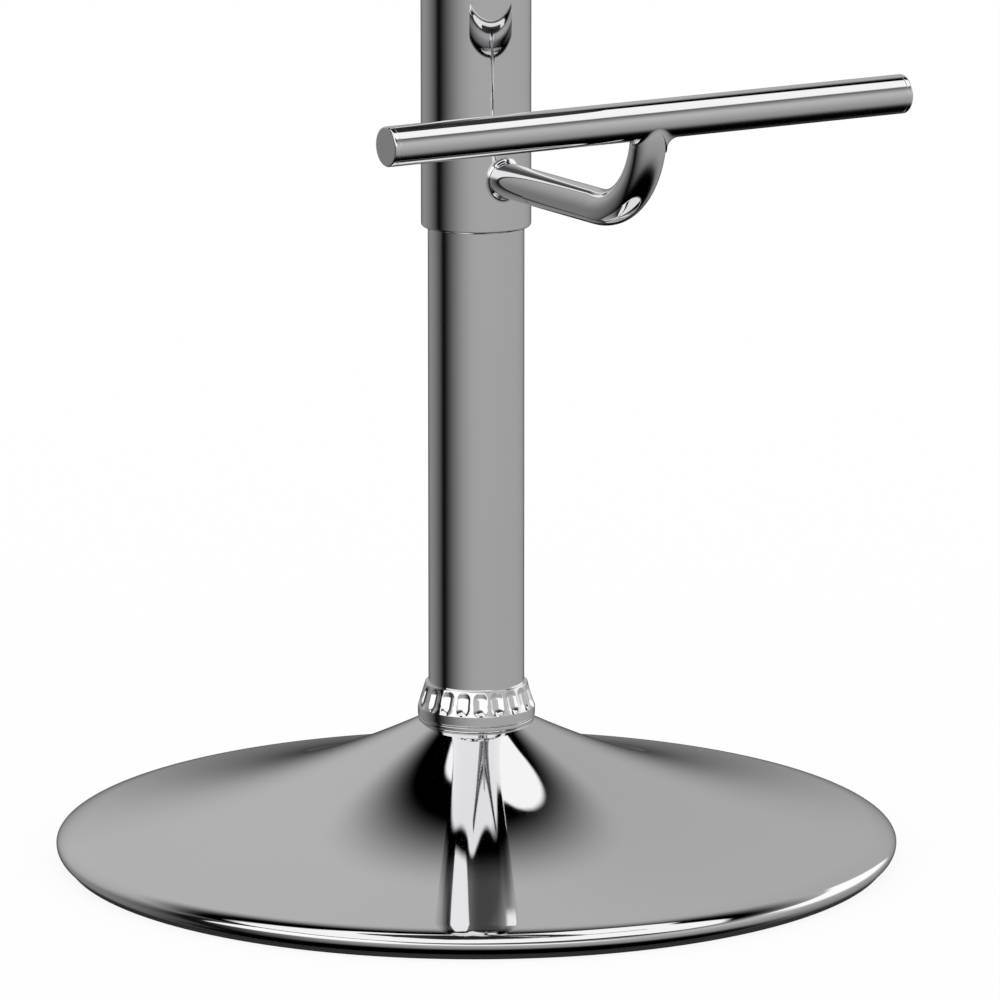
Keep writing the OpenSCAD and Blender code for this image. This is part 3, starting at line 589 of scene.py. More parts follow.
def span(node: str) -> tuple[Array, Array]:
    """Lowest and highest corner of a node, in millimetres."""
    low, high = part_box(node)
    return np.array(low) / MM, np.array(high) / MM


def path_way(path: Array) -> Array:
    """Unit direction of a path of points at each of them."""
    run = np.gradient(path, axis=0)
    return run / np.linalg.norm(run, axis=-1, keepdims=True)


def swept(path: Array, side: Array, profile: Array) -> Array:
    """Carries a flat profile along a path.

    Args:
        path: Points of the path.
        side: The profile's first axis at each point, or one for all.
        profile: The profile's points, or one profile for each point of the path.

    Returns:
        A grid of points, a row for each point of the path.
    """
    way = path_way(path)
    first = np.broadcast_to(side, path.shape)
    first = first - (first * way).sum(-1, keepdims=True) * way
    first /= np.linalg.norm(first, axis=-1, keepdims=True)
    other = np.cross(way, first)
    profile = np.broadcast_to(profile, (len(path), *profile.shape[-2:]))
    return path[:, None] + profile[..., :1] * first[:, None] + profile[..., 1:] * other[:, None]


def ring_profile(radius: float, count: int) -> Array:
    """Points of a circle round the origin."""
    angles = np.linspace(0, FULL_TURN, count, endpoint=False)
    return radius * np.stack([np.cos(angles), np.sin(angles)], axis=1)


@dataclass
class Assembly:
    """Something that makes pieces and hands them to a body of the stool."""

    wardrobe: Wardrobe
    pieces: list[str] = field(default_factory=list, init=False)

    def settle(self, piece: bpy.types.Object, body: Body, slot: Slot, *nodes: str,
               finish: Finish | None = None) -> bpy.types.Object:
        """Dresses a piece, lets it ride on its body and stands it in for nodes.

        Args:
            piece: The finished piece.
            body: The body that carries it.
            slot: Its slot in the record.
            nodes: The nodes that it stands for.
            finish: A finish of its own, where the slot's isn't right.

        Returns:
            The piece.
        """
        piece.data.materials.clear()
        piece.data.materials.append(self.wardrobe(finish or slot.value))
        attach(piece, body.value)
        if nodes:
            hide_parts(*nodes)
        self.pieces.append(piece.name)
        return piece

    def build(self) -> None:
        """Makes the assembly's pieces."""


@dataclass
class Pedestal(Assembly):
    """The spun trumpet base with its rubber ring, the collar and the fixed column. Sizes in mm."""

    wall: float = 1.8
    neck_slope: float = 0.51
    neck_pull: float = 61.6
    edge_slope: float = 0.155
    edge_pull: float = 63.0
    edge_z: float = 15.3
    roll_w: float = 15.0
    roll_z: float = 8.0
    curl_w: float = 5.0
    flange_w: float = 8.0
    rubber_t: float = 2.6
    rubber_back: float = 1.6
    rubber_grip: float = 2.0
    slip: float = 0.03
    tube_wall: float = 2.0
    taper_in: float = 1.2
    taper_h: float = 50.0
    neck_r: float = 30.0
    groove_h: float = 0.7
    groove_in: float = 1.1
    dimples: int = 20
    dimple_w: float = 7.3
    dimple_h: float = 12.1
    dimple_depth: float = 1.55
    dimple_columns: int = 40
    band_h: float = 5.0
    collar_top: float = 26.6
    skin_points: int = 130
    roll_points: int = 26

    def build(self) -> None:
        """Makes the base, its ring, the step ring, the collar and the column."""
        self.base()
        self.rubber()
        self.step()
        self.collar()
        self.column()

    def skin(self) -> Array:
        """Outer profile of the base, from the neck out to the flange under its edge.

        Returns:
            Radius and height of each point.
        """
        radius = span("base_shell")[1][0]
        neck_z = span("base_shell")[1][2]
        neck, edge = np.array([self.neck_r, neck_z]), np.array([radius - self.roll_w, self.edge_z])
        fall_in, fall_out = np.array([1, -self.neck_slope]), np.array([1, -self.edge_slope])
        widest = np.array([radius, self.roll_z])
        flange = np.array([radius - self.curl_w, self.rubber_t])
        return np.concatenate([
            neck[None],
            bezier(neck, neck + self.neck_pull * fall_in, edge - self.edge_pull * fall_out, edge,
                   self.skin_points),
            bezier(edge, edge + 0.55 * self.roll_w * fall_out,
                   widest + [0, 0.5 * (self.edge_z - self.roll_z)], widest, self.roll_points),
            bezier(widest, widest - [0, 0.55 * (self.roll_z - self.rubber_t)],
                   flange - [-0.55 * self.curl_w, 0], flange, self.roll_points),
            flange[None] - [[0.4, 0]],
            flange[None] - [[self.flange_w / 2, 0]],
            flange[None] - [[self.flange_w, 0]],
        ])

    def base(self) -> None:
        """The shell: the outer skin, and the same skin moved in by the sheet's thickness."""
        skin = self.skin()
        inner = beside(skin, self.wall)
        inner[0] = [self.neck_r, inner[0, 1]]
        shell = turned("base_trumpet", np.concatenate([skin, inner[::-1]]), 256)
        self.settle(shell, Body.PEDESTAL, Slot.base_chrome, "base_shell")

    def rubber(self) -> None:
        """The channel that grips the flange and stands on the floor, with softened edges."""
        outer, _, top = span("floor_ring")[1]
        lip = outer - self.flange_w - self.rubber_back
        profile = outline([
            (lip, 0, 0.6), (outer, 0, 0.6), (outer, self.rubber_t, 0.2),
            (outer - self.flange_w, self.rubber_t, 0), (outer - self.flange_w, self.rubber_t + self.wall, 0),
            (outer - self.flange_w + self.rubber_grip, self.rubber_t + self.wall, 0.3),
            (outer - self.flange_w + self.rubber_grip, top, 0.5), (lip, top, 0.6),
        ], steps=5)
        ring = turned("base_floor_ring", profile, 160)
        self.settle(ring, Body.PEDESTAL, Slot.black_rubber, "floor_ring")

    def step(self) -> None:
        """The stepped ring with its groove under the collar."""
        low, high = span("step_ring")
        bore = span("lower_column")[1][0] + self.slip
        outer = high[0]
        groove_z = high[2] - self.groove_h
        profile = outline([
            (bore, low[2], 0), (outer, low[2], 0.35), (outer, groove_z, 0.45),
            (outer - self.groove_in, groove_z, 0.15), (outer - self.groove_in, high[2], 0), (bore, high[2], 0),
        ], steps=8)
        ring = turned("collar_step_ring", profile, 224)
        self.settle(ring, Body.PEDESTAL, Slot.trim_chrome, "step_ring")

    def collar(self) -> None:
        """The dimpled ring: a turned wall that each dimple's round-ended hollow pushes in.

        With u across a dimple and v along it past its straight run, the hollow's depth is
        sqrt(R^2 - u^2 - v^2) less R, plus the full depth, and never under 0.
        """
        low, high = span("collar_ring")
        height, outer, bore = high[2] - low[2], high[0], span("lower_column")[1][0] + self.slip
        top = [self.collar_top, height]
        wall = np.concatenate([
            outline([(bore, 0, 0), (outer, 0, 0.6), (outer, self.band_h, 1.6), (*top, 0.7),
                     (bore + 0.5, height, 0)],
                    closed=False, steps=9, widest=0.25),
            [[bore, height], [bore, 0.5 * height]],
        ])
        columns = self.dimples * self.dimple_columns
        angles = np.linspace(0, FULL_TURN, columns, endpoint=False)
        pitch = FULL_TURN / self.dimples
        across = (angles % pitch - pitch / 2)[None, :] * wall[:, :1]
        middle = self.band_h + self.dimple_h / 2
        half_run = (self.dimple_h - self.dimple_w) / 2
        along = np.maximum(np.abs(wall[:, 1:] - middle) - half_run, 0)
        ball = ((self.dimple_w / 2) ** 2 + self.dimple_depth ** 2) / (2 * self.dimple_depth)
        reach = np.maximum(ball ** 2 - across ** 2 - along ** 2, 0)
        depth = np.maximum(np.sqrt(reach) - ball + self.dimple_depth, 0)
        radius = wall[:, :1] - np.where(wall[:, :1] > bore + 0.6, depth, 0)
        grid = np.stack([radius * np.cos(angles), radius * np.sin(angles),
                         low[2] + wall[:, 1:] + 0 * angles], axis=-1)
        ring = make_piece("collar_dimpled_ring", grid, grid_faces(len(wall), columns, ring_rows=True))
        self.settle(ring, Body.PEDESTAL, Slot.trim_chrome, "collar_ring")

    def column(self) -> None:
        """The spring's outer tube, with its tapered foot."""
        low, high = span("lower_column")
        radius, foot_z, top = high[0], low[2], high[2]
        profile = outline([
            (radius - self.taper_in - self.tube_wall, foot_z, 0), (radius - self.taper_in, foot_z, 0),
            (radius, foot_z + self.taper_h, 0), (radius, top, 0.5), (radius - self.tube_wall, top, 0),
            (radius - self.tube_wall, foot_z + self.taper_h, 0),
        ])
        tube = turned("column_outer_tube", profile, 160)
        self.settle(tube, Body.PEDESTAL, Slot.tube_chrome, "lower_column")


@dataclass
class Footrest(Assembly):
    """The telescoping sleeve, its glide, the bent arm and the foot bar. Sizes in mm."""

    sleeve_wall: float = 2.0
    sleeve_round: float = 1.6
    arm_r: float = 9.2
    arm_wall: float = 2.0
    arm_over_edge: float = 28.1
    bend_r: float = 47.0
    root_weld: float = 3.0
    tee_weld: float = 5.5
    tee_weld_drift: float = 2.0
    cap_t: float = 3.0
    cap_round: float = 1.0
    bar_wall: float = 1.5
    plug_len: float = 12.0
    plug_slip: float = 0.1
    slip: float = 0.05
    sides: int = 128

    def build(self) -> None:
        """Makes the sleeve, the glide, the arm and the bar with its caps."""
        self.sleeve()
        self.arm()
        self.bar()

    def sleeve(self) -> None:
        """The chromed sleeve with its rolled lower edge, and the plastic ring in its mouth."""
        low, high = span("cover_sleeve")
        radius, bore = high[0], high[0] - self.sleeve_wall
        profile = outline([
            (bore, low[2], 0), (radius, low[2], self.sleeve_round), (radius, high[2], 0.3), (bore, high[2], 0),
        ], steps=16)
        tube = turned("cover_sleeve_tube", profile, 160)
        self.settle(tube, Body.UPPER, Slot.tube_chrome, "cover_sleeve")
        low, high = span("sleeve_glide")
        bore = span("lower_column")[1][0] + self.slip
        profile = outline([
            (bore, low[2], 0.4), (high[0], low[2], 0.3), (high[0], high[2], 0), (bore, high[2], 0.4),
        ], steps=5)
        glide = turned("sleeve_glide_ring", profile, 128)
        self.settle(glide, Body.UPPER, Slot.black_plastic, "sleeve_glide")

    def blend(self, host_r: float, round_r: float | Array, across: Array, along: Array, steps: int) -> Array:
        """The surface that a ball rolled in the corner between the arm and a host tube leaves.

        The ball's centre keeps its radius from both tubes: across, along and out from the host's
        axis it is (p, q, sqrt((host + ball)^2 - p^2)), where p and q go round the arm.

        Args:
            host_r: Radius of the tube that the arm meets square.
            round_r: Radius of the ball, or one for each point round the arm.
            across: Cosine-like share of each point square to the host's axis.
            along: Its share along the host's axis.
            steps: Rows of points from the host to the arm.

        Returns:
            Rows of points as across, along and out.
        """
        reach = self.arm_r + round_r
        p, q = reach * across, reach * along
        out = np.sqrt((host_r + round_r) ** 2 - p ** 2)
        centre = np.stack([p, q, out], axis=-1)
        to_host = np.stack([-p, 0 * q, -out], axis=-1) / np.reshape(host_r + round_r, (-1, 1))
        to_arm = np.stack([-across, -along, 0 * out], axis=-1)
        angle = np.arccos(np.clip((to_host * to_arm).sum(-1, keepdims=True), -1, 1))
        share = np.linspace(0, 1, steps)[:, None, None]
        way = (np.sin((1 - share) * angle) * to_host + np.sin(share * angle) * to_arm) / np.sin(angle)
        return centre + np.reshape(round_r, (-1, 1)) * way

    def arm(self) -> None:
        """The bent tube, blended into the sleeve and into the bar by welded corners."""
        sleeve_r = span("cover_sleeve")[1][0]
        low, high = span("foot_bar")
        bar_r = (high[2] - low[2]) / 2
        bar_y, bar_z = (high[1] + low[1]) / 2, (high[2] + low[2]) / 2
        arm_z = span("cover_sleeve")[0][2] + self.arm_over_edge
        angles = np.linspace(0, FULL_TURN, self.sides, endpoint=False)
        cos, sin = np.cos(angles), np.sin(angles)

        def tube(radius: float) -> Array:
            """The bend between the arm's two straight runs, as rows of points round it.

            Args:
                radius: The tube's radius.

            Returns:
                Rows by points by X, Y and Z.
            """
            start, corner = np.array([0, bar_y + self.bend_r, arm_z]), np.array([0, bar_y, arm_z + self.bend_r])
            turn = np.linspace(0, RIGHT_ANGLE, 40)
            bend = np.stack([0 * turn, start[1] - self.bend_r * np.sin(turn),
                             corner[2] - self.bend_r * np.cos(turn)], axis=1)
            outwards = np.stack([0 * turn, np.sin(turn), np.cos(turn)], axis=1)
            return bend[:, None] + radius * (cos[:, None] * np.array([1, 0, 0])
                                             + sin[:, None] * outwards[:, None])

        def run_in(edge: Array, first: Array, count: int) -> Array:
            """Rows between an end's curve and the bend, without both."""
            share = (1 - np.cos(np.linspace(0, math.pi, count + 2)[1:-1])) / 2
            return edge + share[:, None, None] * (first - edge)

        root = self.blend(sleeve_r, self.root_weld, cos, sin, 14)
        root = np.stack([root[..., 0], -root[..., 2], arm_z + root[..., 1]], axis=-1)
        tee = self.blend(bar_r, self.tee_weld + self.tee_weld_drift * cos, sin, cos, 18)[::-1]
        tee = np.stack([tee[..., 1], bar_y + tee[..., 0], bar_z - tee[..., 2]], axis=-1)
        outer = tube(self.arm_r)
        bore_r = self.arm_r - self.arm_wall
        inner = tube(bore_r)
        in_start = np.stack([bore_r * cos, -np.sqrt(sleeve_r ** 2 - (bore_r * cos) ** 2),
                             arm_z + bore_r * sin], -1)
        in_end = np.stack([bore_r * cos, bar_y + bore_r * sin,
                           bar_z - np.sqrt(bar_r ** 2 - (bore_r * sin) ** 2)], -1)
        rows = np.concatenate([
            root, run_in(root[-1], outer[0], 24), outer, run_in(outer[-1], tee[0], 5), tee,
            in_end[None], run_in(in_end, inner[-1], 3), inner[::-1],
            run_in(inner[0], in_start, 6), in_start[None],
        ])
        quads = grid_faces(len(rows), self.sides, ring_rows=True)
        arm = make_piece("footrest_bent_arm", rows, quads, crease=40)
        self.settle(arm, Body.UPPER, Slot.tube_chrome, "footrest_arm")

    def bar(self) -> None:
        """The tube across, and a turned cap with a soft edge in each of its ends."""
        low, high = span("foot_bar")
        radius, length = (high[2] - low[2]) / 2, high[0] - low[0]
        at = (low[0], (high[1] + low[1]) / 2, (high[2] + low[2]) / 2)
        bore = radius - self.bar_wall
        profile = outline([(bore, 0, 0), (radius, 0, 0.12), (radius, length, 0.12), (bore, length, 0)], steps=4)
        self.settle(turned("footrest_bar_tube", profile, 128, Axis.RIGHT, at), Body.UPPER, Slot.tube_chrome,
                    "foot_bar")
        for name, axis, x in (("left", Axis.LEFT, low[0]), ("right", Axis.RIGHT, high[0])):
            profile = outline([
                (0, -self.plug_len, 0), (bore - self.plug_slip, -self.plug_len, 0.5),
                (bore - self.plug_slip, 0, 0), (radius, 0, 0.12),
                (radius, self.cap_t, self.cap_round), (0, self.cap_t, 0),
            ], closed=False, steps=12)
            cap = turned(f"footrest_cap_{name}", profile, 128, axis, (x, at[1], at[2]), closed=False)
            self.settle(cap, Body.UPPER, Slot.trim_chrome, f"bar_cap_{name}")


@dataclass
class Seat(Assembly):
    """The stuffed seat, the plate under it and the lever that works its spring. Sizes in mm."""

    squareness: float = 6.0
    side_points: int = 60
    swell: float = 3.0
    pressure: float = 4.0
    frames: int = 20
    side_draw: float = 5.0
    crown: float = 9.0
    lid_in: float = 26.0
    lid_drop: float = 7.5
    seam_in: float = 3.5
    seam_under_crown: float = 14.0
    seam_sink: float = 2.4
    pucker: float = 0.45
    puckers: int = 84
    welt_r: float = 2.1
    stitch_below: float = 5.0
    hem_in: float = 19.5
    hem_t: float = 0.75
    sheet_t: float = 2.5
    pleat: float = 0.35
    pleats: int = 90
    slip: float = 0.05
    pan_floor: float = 48.0
    pan_mouth: float = 60.0
    pan_corner: float = 14.0
    slot_half: float = 7.0
    slot_round: float = 3.0
    slot_z: tuple[float, float] = (725.5, 743.0)
    slot_middle: float = 734.0
    slot_x: tuple[float, float] = (-66.0, -40.0)
    bolt_at: float = 77.5
    lever_path: tuple[Corner, ...] = ((0, 744.1, 0), (-30, 741, 20), (-52, 734, 20), (-100, 716, 20),
                                      (-134, 712, 20), (-192, 712, 0))
    rod_r: float = 4.0
    rod_end_r: float = 3.6
    grip_len: float = 52.0

    def build(self) -> None:
        """Makes the cushion and its trimming, then what is under it."""
        self.cushion()
        self.underside()
        self.plate()
        self.socket()
        self.bolts()
        self.lever()

    def ring(self, half: float) -> Array:
        """Points once round the superellipse |x|^n + |y|^n = half^n, evenly spaced on the square round it.

        Args:
            half: Half the seat's width at this ring.

        Returns:
            The points in the plane, one to a row.
        """
        run = np.linspace(-1, 1, self.side_points, endpoint=False)
        one = np.ones_like(run)
        sides = ((one, run), (-run, one), (-one, -run), (run, -one))
        square = np.concatenate([np.stack(side, axis=1) for side in sides])
        size = (np.abs(square) ** self.squareness).sum(1, keepdims=True) ** (1 / self.squareness)
        return half * square / size

    def rings(self, profile: Array) -> Array:
        """A row of points round the seat for each half side and height."""
        count = 4 * self.side_points
        return np.stack([np.column_stack([self.ring(half), np.full(count, z)]) for half, z in profile])

    def lid(self, half: float, top: float, drop: float = 0.0) -> Array:
        """Points inside a ring as a square grid, sunk towards the ring by up to a drop.

        Args:
            half: Half the ring's width.
            top: The grid's height in its middle.
            drop: How far it has sunk at the ring.

        Returns:
            The points, one to a row.
        """
        steps = np.linspace(-1, 1, self.side_points + 1)[1:-1]
        spot = np.stack(np.meshgrid(steps, steps, indexing="ij"), axis=-1)
        share = np.abs(spot).max(-1)
        way = np.abs(spot) / np.maximum(share, 1e-9)[..., None]
        size = np.maximum((way ** self.squareness).sum(-1) ** (1 / self.squareness), 1)
        height = top - drop * share ** 2.6
        return np.concatenate([half * spot / size[..., None], height[..., None]], axis=-1).reshape(-1, 3)

    def lid_faces(self, ring_start: int, inner_start: int) -> Array:
        """Quads of a square grid whose border is a ring of points and whose inside is a lid.

        Args:
            ring_start: Number of the ring's first point.
            inner_start: Number of the lid's first.

        Returns:
            The quads.
        """
        n = self.side_points
        numbers = np.empty((n + 1, n + 1), int)
        numbers[1:-1, 1:-1] = inner_start + np.arange((n - 1) ** 2).reshape(n - 1, n - 1)
        numbers[n, :n], numbers[n:0:-1, n], numbers[0, n:0:-1], numbers[:n, 0] = np.split(
            ring_start + np.arange(4 * n), 4)
        corners = (numbers[:-1, :-1], numbers[:-1, 1:], numbers[1:, 1:], numbers[1:, :-1])
        return np.stack(corners, axis=-1).reshape(-1, 4)

    def closed_form(self, profile: Array, drop: float = 0.0) -> tuple[Array, Array]:
        """A solid of rings between a flat lid at the first and a crowned lid at the last.

        Args:
            profile: Half width and height of each ring.
            drop: Height of the crown.

        Returns:
            Points and faces.
        """
        rows = self.rings(profile)
        count = rows.shape[0] * rows.shape[1]
        inner = (self.side_points - 1) ** 2
        first, last = (self.lid(*profile[0]), self.lid(profile[-1, 0], profile[-1, 1] + drop, drop))
        points = np.concatenate([rows.reshape(-1, 3), first, last])
        faces = np.concatenate([grid_faces(rows.shape[0], rows.shape[1]), self.lid_faces(0, count),
                                self.lid_faces(count - rows.shape[1], count + inner)[:, ::-1]])
        return points, faces

    def outwards(self, path: Array) -> Array:
        """The level direction away from the seat at each point of a ring.

        Args:
            path: Points round the seat, one to a row.

        Returns:
            A unit direction for each.
        """
        run = np.roll(path, -1, axis=0) - np.roll(path, 1, axis=0)
        out = np.cross(run, (0, 0, 1))
        return out / np.linalg.norm(out, axis=1, keepdims=True)

    def profile(self) -> tuple[Array, Array]:
        """The unstuffed cushion's rings from its pocket up, and how far along its side each is from the seam.

        Returns:
            Half width and height of each ring, and its length from the seam.
        """
        low, high = span("seat_pad")
        board = span("seat_board")[1]
        half, bottom, top = high[0] - self.swell, low[2], high[2] - self.swell
        pocket, seam_z = board[0] + 0.3, top - self.crown - self.seam_under_crown
        side = np.concatenate([
            [[high[0] - self.side_draw, bottom]],
            bezier([high[0] - self.side_draw, bottom], [half + 1, bottom + 8], [half + 1, bottom + 24],
                   [half - self.seam_in, seam_z], 200),
        ])
        over = bezier([half - self.seam_in, seam_z], [half - 6, seam_z + 10], [half - 14, top - self.crown],
                      [half - self.lid_in, top - self.lid_drop], 100)
        steps = np.linalg.norm(np.diff(np.vstack([side, over]), axis=0), axis=1)
        lengths = np.concatenate([[0], np.cumsum(steps)])
        lengths -= lengths[len(side) - 1]
        near = np.array([-self.stitch_below, -2.4, -1, 0, 1, 2.4, 5])
        rows = np.concatenate([np.linspace(lengths[0], -8.5, 12), near, np.linspace(8.5, lengths[-1], 8)])
        spots = np.column_stack([np.interp(rows, lengths, np.vstack([side, over])[:, k]) for k in range(2)])
        inside = [[pocket, board[2] + 0.3], [pocket, (board[2] + bottom) / 2], [pocket, bottom]]
        return np.concatenate([inside, spots]), np.concatenate([[-200.0] * 3, rows])

    def stuffed(self, points: Array, faces: Array, held: Array) -> Array:
        """Where cloth under pressure carries the cushion's points, no further than the swell.

        Args:
            points: The unstuffed form.
            faces: Its quads.
            held: How firmly each point is held, from 0 to 1.

        Returns:
            The points once the cloth has settled.
        """
        form = make_piece("seat_form", points, faces)
        group = form.vertex_groups.new(name="held")
        for weight in np.unique(held[held > 0]):
            group.add(np.flatnonzero(held == weight).tolist(), float(weight), "REPLACE")
        cloth = form.modifiers.new("stuffing", "CLOTH")
        cloth.settings.quality = 6
        cloth.settings.mass = 0.3
        cloth.settings.use_pressure = True
        cloth.settings.uniform_pressure_force = self.pressure
        cloth.settings.effector_weights.gravity = 0
        cloth.settings.vertex_group_mass = "held"
        cloth.point_cache.frame_end = self.frames
        scene = bpy.context.scene
        for step in range(1, self.frames + 1):
            scene.frame_set(step)
        settled = form.evaluated_get(bpy.context.evaluated_depsgraph_get()).to_mesh()
        flat = np.empty(len(points) * 3)
        settled.vertices.foreach_get("co", flat)
        scene.frame_set(1)
        bpy.data.objects.remove(form)
        moved = flat.reshape(-1, 3) / MM - points
        far = np.linalg.norm(moved, axis=1, keepdims=True)
        return points + moved * np.minimum(1, self.swell / np.maximum(far, 1e-9))

    def cushion(self) -> None:
        """The stuffed cushion with its seam drawn in, its welt and its row of stitches."""
        profile, along = self.profile()
        points, faces = self.closed_form(profile, self.lid_drop)
        round_count = 4 * self.side_points
        held = np.zeros(len(points))
        held[:4 * round_count] = 1
        count = len(profile) * round_count
        held[count:count + (self.side_points - 1) ** 2] = 1
        seam = int(np.flatnonzero(along == 0)[0])
        held[seam * round_count:(seam + 1) * round_count] = 0.4
        points = self.stuffed(points, faces, held)
        rows = points[:count].reshape(len(profile), round_count, 3)
        path = rows[seam].copy()
        out = self.outwards(path)
        corner = (np.abs(path[:, :2]).min(1) / np.abs(path[:, :2]).max(1)) ** 5
        wave = np.sin(np.arctan2(path[:, 1], path[:, 0]) * self.puckers)
        for row, distance in zip(rows, along):
            sink = self.seam_sink * math.exp(-(distance / 1.8) ** 2)
            fold = self.pucker * corner * wave * math.exp(-(distance / 9) ** 2)
            row -= out * (sink + fold)[:, None]
        cushion = make_piece("seat_cushion", points, faces, crease=80)
        finer = cushion.modifiers.new("finer", "SUBSURF")
        finer.levels = finer.render_levels = 1
        self.settle(cushion, Body.UPPER, Slot.brown_leatherette, "seat_pad")

        around = np.concatenate([path[-2:], path, path[:2]]) + 0.4 * np.concatenate([out[-2:], out, out[:2]])
        welt = swept(around, np.concatenate([out[-2:], out, out[:2]]), ring_profile(self.welt_r, 14))[2:-2]
        welt = make_piece("seat_welt", welt, grid_faces(round_count, 14, ring_rows=True))
        self.settle(welt, Body.UPPER, Slot.brown_leatherette)
        below = rows[int(np.flatnonzero(along == -self.stitch_below)[0])]
        stitches = self.bars("seat_stitches", below, out, length=3.6, gap=1.5, radius=0.42, lift=0.1)
        self.settle(stitches, Body.UPPER, Slot.brown_leatherette, finish=SEAT_THREAD)

    def bars(self, name: str, path: Array, out: Array, length: float, gap: float, radius: float,
             lift: float) -> bpy.types.Object:
        """Short round bars along a ring, their ends dipping under its surface, as one mesh.

        Args:
            name: The piece's name.
            path: The ring that they lie on.
            out: The way off the surface, at each of its points.
            length: Length of a bar.
            gap: Space between two.
            radius: Their radius.
            lift: Height of a bar's middle over the surface.

        Returns:
            The new object.
        """
        closed, outs = np.vstack([path, path[:1]]), np.vstack([out, out[:1]])
        at = np.concatenate([[0], np.cumsum(np.linalg.norm(np.diff(closed, axis=0), axis=1))])
        count = int(at[-1] / (length + gap))
        share = np.linspace(-1, 1, 7)
        places = (np.arange(count)[:, None] + 0.5) * at[-1] / count + share * length / 2
        centre = np.stack([np.interp(places, at, closed[:, k]) for k in range(3)], axis=-1)
        off = np.stack([np.interp(places, at, outs[:, k]) for k in range(3)], axis=-1)
        centre += off * (lift - 2.2 * radius * share ** 4)[:, None]
        way = np.gradient(centre, axis=1)
        way /= np.linalg.norm(way, axis=-1, keepdims=True)
        angles = np.linspace(0, FULL_TURN, 6, endpoint=False)[:, None]
        size = (radius * np.sqrt(np.clip(1 - share ** 6, 0, 1)))[:, None, None]
        ring = np.cos(angles) * off[:, :, None] + np.sin(angles) * np.cross(way, off)[:, :, None]
        quads = grid_faces(7, 6) + np.arange(count)[:, None, None] * 42
        return make_piece(name, centre[:, :, None] + size * ring, quads.reshape(-1, 4), weld=True)

    def underside(self) -> None:
        """The cover's edge turned under the board and stapled, and the felted lining inside it."""
        low, high = span("seat_lining")
        outer, top = span("seat_pad")[1][0] - self.side_draw - 0.4, high[2] - 0.02
        inner = outer + 0.4 + self.side_draw - self.hem_in
        hem = self.rings(outline([
            (inner, top - self.hem_t, 0.3), (outer, top - self.hem_t, 0.35), (outer, top, 0), (inner, top, 0),
        ], steps=4, widest=2.5))
        path = self.rings(np.array([[inner + 6, top - self.hem_t]]))[0]
        corner = (np.abs(path[:, :2]).min(1) / np.abs(path[:, :2]).max(1)) ** 5
        pleats = self.pleat * corner * (1 + np.sin(np.arctan2(path[:, 1], path[:, 0]) * self.pleats))
        hem[..., 2] -= np.where(hem[..., 2] < top - 0.1, pleats, 0)
        edge = make_piece("seat_cover_hem", hem, grid_faces(len(hem), hem.shape[1], ring_rows=True))
        self.settle(edge, Body.UPPER, Slot.brown_leatherette)
        down = np.broadcast_to(np.array([0, 0, -1.0]), path.shape)
        staples = self.bars("seat_staples", path, down, length=10.0, gap=22.0, radius=0.4, lift=0.25)
        self.settle(staples, Body.UPPER, Slot.zinc_steel)

        half = high[0]
        points, faces = self.closed_form(np.array([
            [half - 0.3, low[2]], [half, low[2] + 0.25], [half, high[2] - 0.25], [half - 0.3, high[2]]]))
        cloth = make_piece("seat_lining_cloth", points, faces[:, ::-1])
        x, y = self.ring(half * MM).T
        self.settle(cloth, Body.UPPER, Slot.lining_cloth, "seat_lining")

    def plate(self) -> None:
        """The pressed pan: rounded squares that start from a round hole, less a slot for the lever.

        A ray at angle a from the centre meets a square of half side h and corner c at h / cos a, or
        in the corner at d.k + sqrt((d.k)^2 - k.k + c^2), where d is the ray and k the corner's centre.
        """
        low, high = span("seat_plate")
        bore, bottom, top = span("seat_socket")[1][0] + self.slip, low[2], high[2] - self.sheet_t
        lower = outline([(bore, bottom, 0), (self.pan_floor, bottom, 6), (self.pan_mouth, top, 4),
                         (high[0], top, 0)], closed=False)
        profile = np.concatenate([lower, beside(lower, -self.sheet_t)[::-1]])
        angles = np.linspace(0, FULL_TURN, 192, endpoint=False)
        ray = np.abs((angles + RIGHT_ANGLE / 2) % RIGHT_ANGLE - RIGHT_ANGLE / 2)
        half = profile[:, :1]
        corner = np.interp(half, [bore, self.pan_floor, high[0]], [bore, self.pan_corner, self.pan_corner])
        middle = half - corner
        on_side = half * np.tan(ray) <= middle
        dot = middle * (np.cos(ray) + np.sin(ray))
        arc = dot + np.sqrt(np.maximum(dot ** 2 - 2 * middle ** 2 + corner ** 2, 0))
        grid = lathe(np.where(on_side, half / np.cos(ray), arc), profile[:, 1:], 192)
        pan = make_piece("seat_plate_pan", grid, grid_faces(len(profile), 192, ring_rows=True))
        (foot, head), (left, right) = self.slot_z, self.slot_x
        slot = outline([(y, z, self.slot_round) for y, z in (
            (-self.slot_half, foot), (self.slot_half, foot), (self.slot_half, head),
            (-self.slot_half, head))], steps=6)
        middle = np.array([0, self.slot_middle])
        cut = np.stack([np.column_stack([np.full(len(slot), x), middle + k * (slot - middle)])
                        for x, k in ((left, 0), (left, 1), (right, 1), (right, 0))])
        cutter = make_piece("slot", cut, grid_faces(4, len(slot)), weld=True)
        opened = pan.modifiers.new("slot", "BOOLEAN")
        opened.operation, opened.solver, opened.object = "DIFFERENCE", "EXACT", cutter
        mesh = bpy.data.meshes.new_from_object(pan.evaluated_get(bpy.context.evaluated_depsgraph_get()))
        pan.modifiers.clear()
        pan.data = mesh
        mesh.set_sharp_from_angle(angle=math.radians(32))
        bpy.data.objects.remove(cutter)
        self.settle(pan, Body.UPPER, Slot.black_enamel, "seat_plate")

